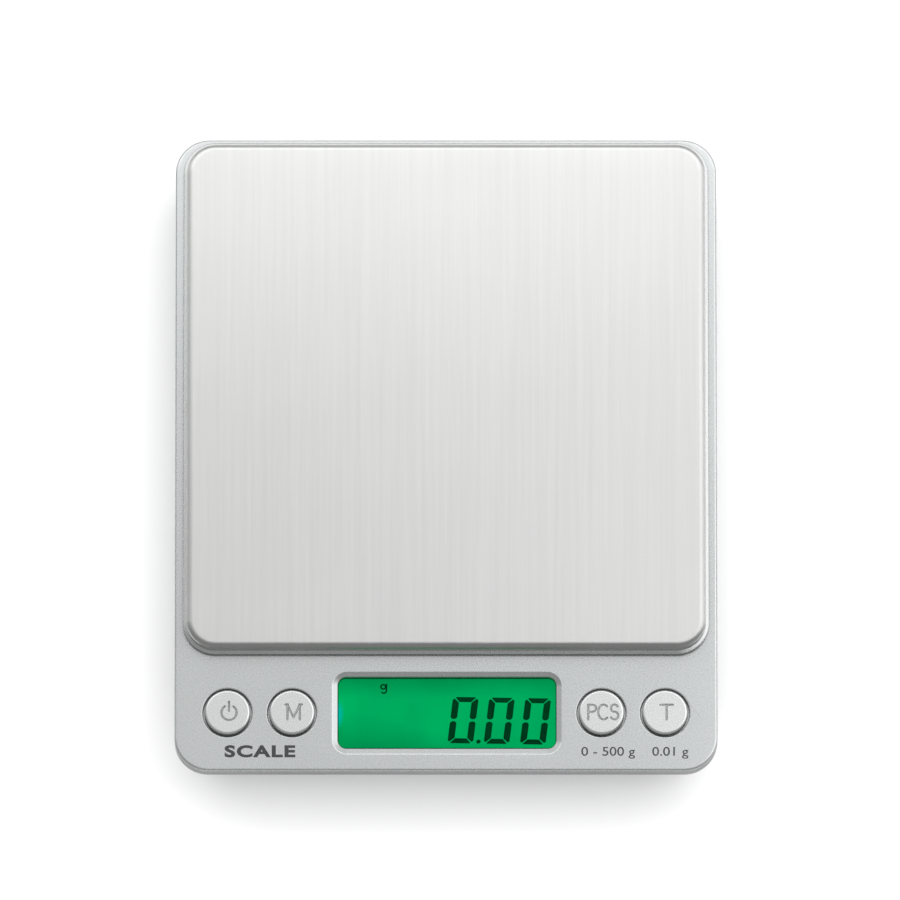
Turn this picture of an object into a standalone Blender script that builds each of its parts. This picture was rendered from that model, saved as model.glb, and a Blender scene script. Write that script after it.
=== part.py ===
"""Digital gram scale: a silver two-part plastic case with a steel weighing platform on a load cell,
four round push buttons, a backlit segment display and a battery compartment, as separate pieces.

All sizes here are millimetres, and MM turns them into metres when a mesh is made. +Z is up, the
display is at the front (-Y), and the origin is on the resting plane, under the centre of the case."""

import math
from collections import namedtuple

import bmesh
import bpy
from mathutils import Matrix, Vector

MM = 0.001
SHARP_ANGLE = math.radians(35)
CORNER_STEPS = 6
SMALL_CORNER_STEPS = 3
ROUND_STEPS = 24
SMALL_ROUND_STEPS = 16
SCREW_STEPS = 12
CLEAR = 0.3  # the gap between pieces that touch
OVERCUT = 1.0  # how far a cutter runs past the face that it opens
CUT_BELOW = -OVERCUT
SOFT_EDGE = 0.15

Screw = namedtuple("Screw", "head_radius head_bottom head_top shank_radius tip")
ScrewHole = namedtuple("ScrewHole", "head_radius head_top shank_radius top")
Box = namedtuple("Box", "left front right back")

# Case: outline, heights and walls
CASE_HALF_X = 53.0
CASE_HALF_Y = 63.5
CASE_CORNER = 6.5
CASE_BOTTOM = 1.0
CASE_TOP = 15.4
CASE_CORNER_SHRINK = 0.45  # how much a corner tightens for each millimetre that the wall stands in
CASE_WALL = 1.5
TOP_EDGE = 0.5
BASE_RIM = 11.4
SKIRT_BOTTOM = BASE_RIM + CLEAR
CEILING = CASE_TOP - CASE_WALL
FLOOR_TOP = 2.6
TONGUE_TOP = 12.5
LOWEST_INSET = 5.3
LOW_EDGE_INSET = 4.6
LOW_EDGE_HEIGHT = 1.3
KNEE_INSET = 4.3
KNEE_HEIGHT = 2.0
RIM_INSET = 0.6
TONGUE_INSET = 1.8
TONGUE_INNER_INSET = 2.9
TONGUE_FOOT = 11.0
FLOOR_INSET = 6.1
BOSS_FOOT = 1.6  # bosses start inside the floor, so that they join it

# Weighing platform
PLATFORM_Y = 11.1
PAN_HALF_X = 50.8
PAN_HALF_Y = 50.9
PAN_CORNER = 5.7
PAN_TOP = 19.0
PAN_EDGE_RADIUS = 0.9
PAN_SHEET = 0.55
PAN_SKIRT_BOTTOM = 16.95
LIP_GROWTH = 0.6
LIP_BOTTOM = 15.9
LIP_TOP = 16.65
LIP_INNER_INSET = 0.5
SUPPORT_HOLLOW_INSET = 2.0
SUPPORT_TOP = 18.1
SUPPORT_EDGE = 0.35
SUPPORT_INSET = 0.9
SUPPORT_PLATE_BOTTOM = 16.9
PLATFORM_TRAVEL = 0.35
SUPPORT_BOSS_MARGIN = 0.6
TAPE_CENTRE_X = -18.0
TAPE_HALF = (15.0, 20.0)
TAPE_CORNER = 2.0
TAPE_THICKNESS = 0.3
TAPE_BED_DEPTH = 0.4

# Load cell under the platform: a slotted aluminium bar along X
BEAM_HALF_LENGTH = 23.5
BEAM_HALF_WIDTH = 6.0
BEAM_BOTTOM = 5.0
BEAM_TOP = 11.0
BEAM_BORE_X = 5.0
BEAM_BORE_RADIUS = 2.1
BEAM_SLOT_HALF = 0.7
BEAM_SCREW_X = (13.2, 20.0)
BEAM_HOLE_RADIUS = 1.8
BEAM_PAD = Box(-24.5, PLATFORM_Y - 7.0, -9.5, PLATFORM_Y + 7.0)
BEAM_PAD_TOP = 3.7
BASE_SPACER_RIGHT = -9.8
BASE_SPACER_BOTTOM = BEAM_PAD_TOP + CLEAR
LOAD_END = (BEAM_SCREW_X[0] - 3.5, BEAM_SCREW_X[1] + 3.5)
LOAD_OPENING_HALF = (8.4, 7.6)
LOAD_OPENING_CORNER = 1.5
STOP_SCREW_X = 16.6
STOP_SCREW_RADIUS = 1.4
STOP_SCREW_HOLE_RADIUS = 1.8
STOP_BOSS_RADIUS = 3.2
STOP_SCREW_TOP = BEAM_BOTTOM - PLATFORM_TRAVEL - 0.25
COAT_HALF = (7.5, 4.8)
COAT_CORNER = 1.5
COAT_THICKNESS = 0.7

# Buttons and their switches
BUTTON_Y = -51.9
BUTTON_PLACES = {"power": -42.65, "mode": -30.05, "pieces": 30.35, "tare": 42.75}
BUTTON_HOLE_RADIUS = 4.95
BUTTON_RADIUS = 4.55
BUTTON_TOP = 16.1
BUTTON_EDGE = 0.4
BUTTON_FLANGE_RADIUS = 5.5
BUTTON_FLANGE_BOTTOM = 12.7
BUTTON_STUB_RADIUS = 1.3
BUTTON_STUB_BOTTOM = 12.3
PLUNGER_RADIUS = 1.5
PLUNGER_BOTTOM = 10.2
PLUNGER_TOP = 12.05
PLUNGER_EDGE = 0.25
SWITCH_HALF = 3.0
SWITCH_BOTTOM = 8.8
SWITCH_TOP = 11.0
SWITCH_BORE_RADIUS = 1.8
SWITCH_BORE_BOTTOM = 9.6

# Display stack
DISPLAY_X = 0.2
DISPLAY_Y = -52.05
DISPLAY_OUTER_HALF = (22.3, 8.1)
DISPLAY_INNER_HALF = (21.35, 7.15)
DISPLAY_OUTER_CORNER = 2.2
DISPLAY_INNER_CORNER = 1.4
DISPLAY_BEVEL_DEPTH = 0.7
BOARD_TOP = 8.6
BOARD_THICKNESS = 1.2
BOARD_BOTTOM = BOARD_TOP - BOARD_THICKNESS
BOARD_HALF_X = 47.5
BOARD_FRONT = -58.9
BOARD_BACK = -39.0
BOARD_CORNER = 3.0
STACK_BOTTOM = BOARD_TOP + CLEAR
GLASS = Box(-22.8, -60.2, 23.2, -41.4)
GLASS_BOTTOM = 11.5
GLASS_TOP = 12.6
WINDOW_HALF = (23.0, 8.6)
WINDOW_CORNER = 1.5
WINDOW_BOTTOM = 12.85
WINDOW_TOP = 13.6
BACKLIGHT_Y = -51.5
BACKLIGHT_OUTER_HALF = (23.6, 7.6)
BACKLIGHT_INNER_HALF = (22.4, 6.6)
BACKLIGHT_CORNER = 0.5
DIFFUSER = Box(-20.6, -57.8, 22.3, -45.2)
DIFFUSER_TOP = 11.1
LED = Box(-21.9, -53.2, -20.9, -49.8)
LED_TOP = 11.0
ZEBRA = Box(-20.0, -43.6, 20.4, -41.7)
CHIP_PLACE = (12.0, -49.0, 0.0)
CHIP_PROFILE = ((1.2, -1.5), (3.2, -1.2), (4.4, -0.6), (4.8, 0.0))

# Battery compartment with two AAA cells side by side along X
CELL_RADIUS = 5.25
CELL_LENGTH = 44.5
CELL_Z = 7.55
CELL_YS = (33.85, 44.95)
BAY_HALF_X = 26.2
BAY_FRONT = 27.6
BAY_BACK = 51.2
BAY_WALL = 1.2
BAY_CEILING = 13.0
BAY_LID = 0.6
BAY_WALL_FOOT = 3.2
LEAD_HOLE_RADIUS = 1.0
CELL_STEPS = 20
CELL_EDGE = 0.6
CELL_NUB_RADIUS = 1.9
CELL_NUB_LENGTH = 1.2
SPRING_WIRE_RADIUS = 0.3
SPRING_TURNS = 4
SPRING_TURN_STEPS = 12
SPRING_WIDE_RADIUS = 3.2
SPRING_NARROW_RADIUS = 2.2
CONTACT_INNER_X = 25.5
CONTACT_THICKNESS = 0.4
CONTACT_HALF_WIDTH = 4.5
CONTACT_BOTTOM = 3.4
CONTACT_TOP = 11.8
DOOR_HALF_X = 26.5
DOOR_FRONT = 25.6
DOOR_TOP = 2.1
DOOR_LIP_TOP = 4.6
DOOR_LIP_THICKNESS = 1.3
DOOR_LIP_FILLET = 0.8
DOOR_SEAT = Box(-29.0, 23.6, 29.0, 57.9)
DOOR_SEAT_TOP = 3.8
DOOR_STOP = Box(-29.0, 56.0, 29.0, 59.0)
DOOR_STOP_FOOT = 3.5
DOOR_STOP_TOP = 6.2

# Wiring
LEAD_RADIUS = 0.6
LEAD_SPACING = 3.0
LEAD_ROUTES = {  # cell's Y, X of the long run, X of the end at the board
    "battery_lead_red": (CELL_YS[0], 31.0, 26.0),
    "battery_lead_black": (CELL_YS[1], 33.2, 28.6),
}
CABLE_START = (6.0, 11.7)
CABLE_END = (-41.3, 9.3)
CABLE_HALF_WIDTH = 1.8
CABLE_THICKNESS = 0.7
CABLE_SAG = 2.6
CABLE_STEPS = 20

# Fasteners and feet
CASE_SCREW_PLACES = ((-42.5, -31.0), (42.5, -31.0), (-42.5, 33.0), (42.5, 33.0))
BOARD_SCREW_PLACES = ((-36.65, -56.6), (36.65, -56.6), (-36.65, -43.4), (36.65, -43.4))
FOOT_PLACES = ((-41.0, -51.5), (41.0, -51.5), (-41.0, 51.5), (41.0, 51.5))
FOOT_RADIUS = 4.5
FOOT_EDGE = 0.3
FOOT_POCKET_TOP = 1.6
CASE_SCREW = Screw(2.2, 1.2, 2.1, 1.0, 11.2)
CASE_SCREW_HOLE = ScrewHole(2.6, 2.4, 1.3, 5.0)
CASE_BOSS_RADIUS = 3.5
CASE_BOSS_TOP = 4.0
CASE_POST_RADIUS = 2.7
CASE_PILOT_TOP = 11.6
BOARD_SCREW = Screw(1.7, BOARD_BOTTOM - 1.2, BOARD_BOTTOM - CLEAR, 0.75, 11.8)
BOARD_HOLE_RADIUS = 1.1
BOARD_POST_RADIUS = 1.9
BOARD_PILOT_RADIUS = 1.05
BOARD_PILOT_TOP = 12.2
BEAM_SCREW = Screw(2.8, 1.2, 2.1, 1.5, 9.6)
BEAM_SCREW_HOLE = ScrewHole(3.2, 2.4, 1.8, 5.0)
PLATFORM_SCREW_PROFILE = ((0.5, 6.4), (1.5, 7.0), (1.5, 17.1), (2.5, 17.1), (2.5, 17.6), (2.0, 17.95))
PLATFORM_SEAT_TOP = 16.8
PLATFORM_SEAT_RADIUS = 2.9
SCREW_HEAD_EDGE = 0.5
SCREW_HEAD_RISE = 0.35
SCREW_POINT = 0.6


# ---------------------------------------------------------------- materials


def surface(name, colour, roughness=0.4, metallic=0.0, alpha=1.0):
    """A Principled material: plastic, metal, rubber or glass by its values."""
    material = bpy.data.materials.new(name)
    material.use_nodes = True
    shader = material.node_tree.nodes["Principled BSDF"]
    shader.inputs["Base Color"].default_value = (*colour, 1.0)
    shader.inputs["Roughness"].default_value = roughness
    shader.inputs["Metallic"].default_value = metallic
    shader.inputs["Alpha"].default_value = alpha
    return material


def make_materials():
    return {
        "silver": surface("silver_paint", (0.56, 0.57, 0.57), 0.38, 0.6),
        "button": surface("button_silver", (0.70, 0.71, 0.71), 0.35, 0.5),
        "steel": surface("brushed_steel", (0.66, 0.65, 0.64), 0.32, 1.0),
        "alloy": surface("aluminium", (0.62, 0.63, 0.65), 0.35, 1.0),
        "screw": surface("zinc_steel", (0.50, 0.50, 0.52), 0.35, 1.0),
        "rubber": surface("rubber", (0.03, 0.03, 0.03), 0.85),
        "board": surface("board_green", (0.02, 0.16, 0.07), 0.45),
        "black": surface("black_plastic", (0.02, 0.02, 0.02), 0.5),
        "white": surface("white_plastic", (0.80, 0.80, 0.78), 0.5),
        "clear": surface("clear_window", (0.85, 0.95, 0.88), 0.05, 0.0, 0.3),
        "glass": surface("display_green", (0.0, 0.36, 0.09), 0.2),
        "tin": surface("tinned_contact", (0.70, 0.68, 0.62), 0.3, 1.0),
        "cell": surface("cell_jacket", (0.10, 0.11, 0.12), 0.35, 0.3),
        "red": surface("red_insulation", (0.45, 0.02, 0.02), 0.5),
        "ribbon": surface("grey_insulation", (0.42, 0.42, 0.42), 0.55),
        "tape": surface("foam_tape", (0.75, 0.75, 0.72), 0.9),
    }


# ---------------------------------------------------------------- rings and solids


def rounded_ring(centre, half_x, half_y, radius, z, steps=CORNER_STEPS):
    """Points round a rectangle with round corners, anticlockwise seen from above."""
    points = []
    for corner in range(4):
        side_x = (1, -1, -1, 1)[corner]
        side_y = (1, 1, -1, -1)[corner]
        for step in range(steps + 1):
            angle = (corner + step / steps) * math.pi / 2
            x = centre[0] + side_x * (half_x - radius) + radius * math.cos(angle)
            y = centre[1] + side_y * (half_y - radius) + radius * math.sin(angle)
            points.append((x, y, z))
    return points


def case_ring(inset, z):
    """The case outline, drawn in by inset. Its corners tighten less than the walls move in."""
    radius = CASE_CORNER - CASE_CORNER_SHRINK * inset
    return rounded_ring((0, 0), CASE_HALF_X - inset, CASE_HALF_Y - inset, radius, z)


def platform_ring(inset, z):
    """The pan outline about the platform's centre, drawn in by inset, or out where it is negative."""
    radius = PAN_CORNER - inset
    return rounded_ring((0, PLATFORM_Y), PAN_HALF_X - inset, PAN_HALF_Y - inset, radius, z)


def skin(bm, rings, closed=False):
    """Joins rings of equal length in order: capped at both ends, or closed into a tube."""
    loops = [[bm.verts.new(Vector(point) * MM) for point in ring] for ring in rings]
    if closed:
        pairs = list(zip(loops, loops[1:] + loops[:1]))
    else:
        pairs = list(zip(loops, loops[1:]))
        bm.faces.new(loops[0])
        bm.faces.new(loops[-1])
    for first, second in pairs:
        for i in range(len(first)):
            j = (i + 1) % len(first)
            bm.faces.new((first[i], first[j], second[j], second[i]))


def block(bm, box, bottom, top):
    """An upright block on a box's outline."""
    corners = ((box.left, box.front), (box.right, box.front), (box.right, box.back), (box.left, box.back))
    skin(bm, [[(x, y, z) for x, y in corners] for z in (bottom, top)])


def plate(bm, centre, half, radius, bottom, top, steps=SMALL_CORNER_STEPS):
    """A flat plate with round corners."""
    skin(bm, [rounded_ring(centre, *half, radius, z, steps) for z in (bottom, top)])


def turned(bm, profile, place=(0, 0, 0), steps=ROUND_STEPS, along="Z"):
    """A solid of revolution from (radius, height) points, about an axis through place."""
    rings = []
    for radius, height in profile:
        ring = []
        for step in range(steps):
            angle = 2 * math.pi * step / steps
            across = (radius * math.cos(angle), radius * math.sin(angle))
            offset = (*across, height) if along == "Z" else (height, *across)
            ring.append(tuple(p + o for p, o in zip(place, offset)))
        rings.append(ring)
    skin(bm, rings)


def rod(bm, x, y, radius, low, high, steps=SMALL_ROUND_STEPS):
    """A plain upright cylinder."""
    turned(bm, ((radius, low), (radius, high)), (x, y, 0), steps)


def screw_hole(bm, x, y, hole):
    """A counterbore from below with a narrower hole above it."""
    profile = (
        (hole.head_radius, CUT_BELOW),
        (hole.head_radius, hole.head_top),
        (hole.shank_radius, hole.head_top),
        (hole.shank_radius, hole.top),
    )
    turned(bm, profile, (x, y, 0), SMALL_ROUND_STEPS)


def extruded_x(bm, outline, low_x, high_x):
    """An outline of (y, z) points carried along X."""
    skin(bm, [[(x, y, z) for y, z in outline] for x in (low_x, high_x)])


# ---------------------------------------------------------------- objects


def shaped(name, draw, material):
    """A closed mesh object from a function that draws into a bmesh."""
    bm = bmesh.new()
    draw(bm)
    bmesh.ops.recalc_face_normals(bm, faces=bm.faces)
    mesh = bpy.data.meshes.new(name)
    bm.to_mesh(mesh)
    bm.free()
    mesh.materials.append(material)
    mesh.shade_smooth()
    mesh.set_sharp_from_angle(angle=SHARP_ANGLE)
    obj = bpy.data.objects.new(name, mesh)
    bpy.context.scene.collection.objects.link(obj)
    return obj


def boolean(target, name, draw, operation, material):
    """Adds or cuts a helper shape. The helper stays out of the render."""
    helper = shaped(name, draw, material)
    helper.hide_render = True
    helper.display_type = "WIRE"
    modifier = target.modifiers.new(name, "BOOLEAN")
    modifier.object = helper
    modifier.operation = operation
    modifier.solver = "EXACT"


def joint_origin(name, x, y, z=0.0):
    """An empty on a joint's axis, which the moving pieces hang from."""
    empty = bpy.data.objects.new(name, None)
    empty.location = Vector((x, y, z)) * MM
    empty.empty_display_size = 5 * MM
    bpy.context.scene.collection.objects.link(empty)
    return empty


def hang(obj, empty):
    """Parents a piece that was drawn in place to an empty, and keeps it there."""
    obj.data.transform(Matrix.Translation(-empty.location))
    obj.parent = empty


def smooth_path(points, spacing):
    """Points every spacing or so along a Catmull-Rom curve through the given points."""
    knots = [Vector(p) for p in points]
    knots = [2 * knots[0] - knots[1]] + knots + [2 * knots[-1] - knots[-2]]
    path = []
    for a, b, c, d in zip(knots, knots[1:], knots[2:], knots[3:]):
        count = max(1, round((c - b).length / spacing))
        for step in range(count):
            t = step / count
            straight = 2 * b + (c - a) * t
            bend = (2 * a - 5 * b + 4 * c - d) * t**2 + (3 * b - a - 3 * c + d) * t**3
            path.append((straight + bend) / 2)
    path.append(knots[-2])
    return path


def wire(name, path, radius, material, sides_level):
    """A round wire along a path, as a bevelled curve with closed ends."""
    curve = bpy.data.curves.new(name, "CURVE")
    curve.dimensions = "3D"
    curve.bevel_depth = radius * MM
    curve.bevel_resolution = sides_level
    curve.use_fill_caps = True
    curve.materials.append(material)
    spline = curve.splines.new("POLY")
    spline.points.add(len(path) - 1)
    for point, place in zip(spline.points, path):
        point.co = (*(Vector(place) * MM), 1.0)
    obj = bpy.data.objects.new(name, curve)
    bpy.context.scene.collection.objects.link(obj)


# ---------------------------------------------------------------- case


def wall_inset(z):
    """How far the base's sloping outer wall stands in from the case outline at height z."""
    share = (z - KNEE_HEIGHT) / (BASE_RIM - KNEE_HEIGHT)
    return KNEE_INSET + share * (RIM_INSET - KNEE_INSET)


def draw_base(bm):
    """The lower tub: a sloping wall, a rim, and a tongue that the upper shell closes over."""
    skin(
        bm,
        [
            case_ring(LOWEST_INSET, CASE_BOTTOM),
            case_ring(LOW_EDGE_INSET, LOW_EDGE_HEIGHT),
            case_ring(KNEE_INSET, KNEE_HEIGHT),
            case_ring(RIM_INSET, BASE_RIM),
            case_ring(TONGUE_INSET, BASE_RIM),
            case_ring(TONGUE_INSET, TONGUE_TOP),
            case_ring(TONGUE_INNER_INSET, TONGUE_TOP),
            case_ring(TONGUE_INNER_INSET, TONGUE_FOOT),
            case_ring(FLOOR_INSET, FLOOR_TOP),
        ],
    )


def draw_base_bosses(bm):
    """What stands on the base's floor: screw bosses, the load cell's pad and stop, the door's seat."""
    for x, y in CASE_SCREW_PLACES:
        rod(bm, x, y, CASE_BOSS_RADIUS, BOSS_FOOT, CASE_BOSS_TOP)
    block(bm, BEAM_PAD, BOSS_FOOT, BEAM_PAD_TOP)
    rod(bm, STOP_SCREW_X, PLATFORM_Y, STOP_BOSS_RADIUS, BOSS_FOOT, BEAM_PAD_TOP)
    block(bm, DOOR_SEAT, BOSS_FOOT, DOOR_SEAT_TOP)


def draw_bay_walls(bm):
    """The box round the cells, and the thick wall that the door's turned-up edge closes against."""
    block(bm, DOOR_STOP, DOOR_STOP_FOOT, DOOR_STOP_TOP)
    half_x = BAY_HALF_X + BAY_WALL
    outside = Box(-half_x, BAY_FRONT - BAY_WALL, half_x, BAY_BACK + BAY_WALL)
    block(bm, outside, BAY_WALL_FOOT, BAY_CEILING + BAY_LID)


def draw_base_cuts(bm):
    """The battery bay, the screw holes from below and the pockets that the feet stick in."""
    block(bm, Box(-BAY_HALF_X, BAY_FRONT, BAY_HALF_X, BAY_BACK), CUT_BELOW, BAY_CEILING)
    for x, y in CASE_SCREW_PLACES:
        screw_hole(bm, x, y, CASE_SCREW_HOLE)
    for x in BEAM_SCREW_X:
        screw_hole(bm, -x, PLATFORM_Y, BEAM_SCREW_HOLE)
    rod(bm, STOP_SCREW_X, PLATFORM_Y, STOP_SCREW_HOLE_RADIUS, CUT_BELOW, BEAM_PAD_TOP + OVERCUT)
    for x, y in FOOT_PLACES:
        rod(bm, x, y, FOOT_RADIUS + CLEAR, CUT_BELOW, FOOT_POCKET_TOP, ROUND_STEPS)


def draw_door_recess(bm):
    """The step that the door slides out of, open to the rear, and the leads' way into the bay."""
    lip_back = CASE_HALF_Y - wall_inset(DOOR_LIP_TOP) - DOOR_LIP_THICKNESS
    front = DOOR_FRONT - CLEAR
    outline = (
        (front, CUT_BELOW),
        (CASE_HALF_Y, CUT_BELOW),
        (CASE_HALF_Y, DOOR_LIP_TOP + CLEAR),
        (lip_back - CLEAR, DOOR_LIP_TOP + CLEAR),
        (lip_back - DOOR_LIP_FILLET - CLEAR, DOOR_TOP + CLEAR),
        (front, DOOR_TOP + CLEAR),
    )
    extruded_x(bm, outline, -DOOR_HALF_X - CLEAR, DOOR_HALF_X + CLEAR)
    for y in CELL_YS:
        ends = (BAY_HALF_X - OVERCUT, BAY_HALF_X + BAY_WALL + OVERCUT)
        turned(bm, [(LEAD_HOLE_RADIUS, x) for x in ends], (0, y, CELL_Z), SMALL_ROUND_STEPS, along="X")


def make_base(materials):
    silver = materials["silver"]
    base = shaped("base_shell", draw_base, silver)
    boolean(base, "base_bosses", draw_base_bosses, "UNION", silver)
    boolean(base, "bay_walls", draw_bay_walls, "UNION", silver)
    boolean(base, "base_cuts", draw_base_cuts, "DIFFERENCE", silver)
    boolean(base, "door_recess", draw_door_recess, "DIFFERENCE", silver)


def draw_top_shell(bm):
    """The upper shell: a flat top with a small edge radius and a short skirt round it."""
    skin(
        bm,
        [
            case_ring(CASE_WALL, CEILING),
            case_ring(CASE_WALL, SKIRT_BOTTOM),
            case_ring(SOFT_EDGE, SKIRT_BOTTOM),
            case_ring(0.0, SKIRT_BOTTOM + SOFT_EDGE),
            case_ring(0.0, CASE_TOP - TOP_EDGE),
            case_ring(SOFT_EDGE, CASE_TOP - SOFT_EDGE),
            case_ring(TOP_EDGE, CASE_TOP),
        ],
    )


def draw_top_posts(bm):
    """Posts under the top: four long ones for the case screws, four short ones for the board."""
    buried = (CEILING + CASE_TOP) / 2
    for x, y in CASE_SCREW_PLACES:
        rod(bm, x, y, CASE_POST_RADIUS, CASE_BOSS_TOP + CLEAR, buried)
    for x, y in BOARD_SCREW_PLACES:
        rod(bm, x, y, BOARD_POST_RADIUS, STACK_BOTTOM, buried)


def draw_top_cuts(bm):
    """The display opening with its sloping rim, the button holes, the load cell's way up and the
    screws' pilot holes."""
    low, high = CEILING - OVERCUT, CASE_TOP + OVERCUT
    place = (DISPLAY_X, DISPLAY_Y)
    spread = OVERCUT * (DISPLAY_OUTER_HALF[0] - DISPLAY_INNER_HALF[0]) / DISPLAY_BEVEL_DEPTH
    above = [half + spread for half in DISPLAY_OUTER_HALF]
    skin(
        bm,
        [
            rounded_ring(place, *DISPLAY_INNER_HALF, DISPLAY_INNER_CORNER, low),
            rounded_ring(place, *DISPLAY_INNER_HALF, DISPLAY_INNER_CORNER, CASE_TOP - DISPLAY_BEVEL_DEPTH),
            rounded_ring(place, *DISPLAY_OUTER_HALF, DISPLAY_OUTER_CORNER, CASE_TOP),
            rounded_ring(place, *above, DISPLAY_OUTER_CORNER + spread, high),
        ],
    )
    for x in BUTTON_PLACES.values():
        rod(bm, x, BUTTON_Y, BUTTON_HOLE_RADIUS, low, high, ROUND_STEPS)
    middle = (sum(LOAD_END) / 2, PLATFORM_Y)
    plate(bm, middle, LOAD_OPENING_HALF, LOAD_OPENING_CORNER, low, high)
    for x, y in CASE_SCREW_PLACES:
        rod(bm, x, y, CASE_SCREW_HOLE.shank_radius, CASE_BOSS_TOP, CASE_PILOT_TOP)
    for x, y in BOARD_SCREW_PLACES:
        rod(bm, x, y, BOARD_PILOT_RADIUS, BOARD_TOP, BOARD_PILOT_TOP)


def make_top_shell(materials):
    silver = materials["silver"]
    shell = shaped("top_shell", draw_top_shell, silver)
    boolean(shell, "top_posts", draw_top_posts, "UNION", silver)
    boolean(shell, "top_cuts", draw_top_cuts, "DIFFERENCE", silver)


def make_feet(materials):
    def draw(bm):
        top = FOOT_POCKET_TOP - CLEAR
        turned(bm, ((FOOT_RADIUS - FOOT_EDGE, 0.0), (FOOT_RADIUS, FOOT_EDGE), (FOOT_RADIUS, top)))

    for number, (x, y) in enumerate(FOOT_PLACES, 1):
        foot = shaped(f"rubber_foot_{number}", draw, materials["rubber"])
        foot.location = Vector((x, y, 0)) * MM


# ---------------------------------------------------------------- fasteners


def make_screws(stem, places, size, material):
    """Pan-head screws from below."""

    def draw(bm):
        profile = (
            (size.head_radius - SCREW_HEAD_EDGE, size.head_bottom),
            (size.head_radius, size.head_bottom + SCREW_HEAD_RISE),
            (size.head_radius, size.head_top),
            (size.shank_radius, size.head_top),
            (size.shank_radius, size.tip - SCREW_POINT),
            (size.shank_radius / 3, size.tip),
        )
        turned(bm, profile, steps=SCREW_STEPS)

    for number, (x, y) in enumerate(places, 1):
        screw = shaped(f"{stem}_{number}", draw, material)
        screw.location = Vector((x, y, 0)) * MM


def draw_stop_screw(bm):
    """A headless set screw whose tip stops the load cell's free end just past its travel."""
    narrow = STOP_SCREW_RADIUS - SCREW_HEAD_EDGE
    bottom = CASE_BOTTOM + CLEAR
    profile = (
        (narrow, bottom),
        (STOP_SCREW_RADIUS, bottom + CLEAR),
        (STOP_SCREW_RADIUS, STOP_SCREW_TOP - CLEAR),
        (narrow, STOP_SCREW_TOP),
    )
    turned(bm, profile, (STOP_SCREW_X, PLATFORM_Y, 0), SCREW_STEPS)


def make_all_screws(materials):
    beam_places = [(-x, PLATFORM_Y) for x in BEAM_SCREW_X]
    make_screws("case_screw", CASE_SCREW_PLACES, CASE_SCREW, materials["screw"])
    make_screws("board_screw", BOARD_SCREW_PLACES, BOARD_SCREW, materials["screw"])
    make_screws("beam_screw", beam_places, BEAM_SCREW, materials["screw"])
    shaped("overload_stop_screw", draw_stop_screw, materials["screw"])


# ---------------------------------------------------------------- load cell


def beam_box(left, right):
    """The load cell's outline from above, between two places along it."""
    return Box(left, PLATFORM_Y - BEAM_HALF_WIDTH, right, PLATFORM_Y + BEAM_HALF_WIDTH)


def draw_beam(bm):
    block(bm, beam_box(-BEAM_HALF_LENGTH, BEAM_HALF_LENGTH), BEAM_BOTTOM, BEAM_TOP)


def draw_beam_cuts(bm):
    """Two bores across the bar with a slot between them, which leave thin webs above and below
    them to bend, and the screw holes down through its ends."""
    middle = (BEAM_BOTTOM + BEAM_TOP) / 2
    half = BEAM_HALF_WIDTH + OVERCUT
    steps = 10
    outline = []
    entry = math.asin(BEAM_SLOT_HALF / BEAM_BORE_RADIUS)
    for side in (1, -1):
        for step in range(steps + 1):
            angle = (entry - math.pi) + (2 * math.pi - 2 * entry) * step / steps
            x = side * (BEAM_BORE_X + BEAM_BORE_RADIUS * math.cos(angle))
            outline.append((x, middle + side * BEAM_BORE_RADIUS * math.sin(angle)))
    skin(bm, [[(x, y, z) for x, z in outline] for y in (PLATFORM_Y - half, PLATFORM_Y + half)])
    for x in BEAM_SCREW_X:
        for side in (1, -1):
            rod(bm, side * x, PLATFORM_Y, BEAM_HOLE_RADIUS, BEAM_BOTTOM - OVERCUT, BEAM_TOP + OVERCUT)


def make_load_cell(materials):
    beam = shaped("load_cell_beam", draw_beam, materials["alloy"])
    boolean(beam, "beam_cuts", draw_beam_cuts, "DIFFERENCE", materials["alloy"])

    def draw_spacer(bm):
        outline = beam_box(-BEAM_HALF_LENGTH, BASE_SPACER_RIGHT)
        block(bm, outline, BASE_SPACER_BOTTOM, BEAM_BOTTOM - CLEAR)

    def draw_spacer_holes(bm):
        for x in BEAM_SCREW_X:
            rod(bm, -x, PLATFORM_Y, BEAM_HOLE_RADIUS, BASE_SPACER_BOTTOM - OVERCUT, BEAM_BOTTOM + OVERCUT)

    spacer = shaped("beam_base_spacer", draw_spacer, materials["screw"])
    boolean(spacer, "base_spacer_holes", draw_spacer_holes, "DIFFERENCE", materials["screw"])

    coats = {"gauge_coat_upper": BEAM_TOP + CLEAR, "gauge_coat_lower": BEAM_BOTTOM - CLEAR - COAT_THICKNESS}
    for name, bottom in coats.items():

        def draw_coat(bm, bottom=bottom):
            plate(bm, (0, PLATFORM_Y), COAT_HALF, COAT_CORNER, bottom, bottom + COAT_THICKNESS)

        shaped(name, draw_coat, materials["white"])


# ---------------------------------------------------------------- platform


def draw_pan(bm):
    """The pressed steel pan: flat top, rolled edge and short skirt, open below."""
    inner_radius = PAN_EDGE_RADIUS - PAN_SHEET + SOFT_EDGE
    rings = [
        platform_ring(PAN_SHEET + inner_radius, PAN_TOP - PAN_SHEET),
        platform_ring(PAN_SHEET, PAN_TOP - PAN_SHEET - inner_radius),
        platform_ring(PAN_SHEET, PAN_SKIRT_BOTTOM),
        platform_ring(0.0, PAN_SKIRT_BOTTOM),
    ]
    steps = 4
    for step in range(steps + 1):
        angle = step / steps * math.pi / 2
        inset = PAN_EDGE_RADIUS * (1 - math.cos(angle))
        rings.append(platform_ring(inset, PAN_TOP - PAN_EDGE_RADIUS * (1 - math.sin(angle))))
    skin(bm, rings)


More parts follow.
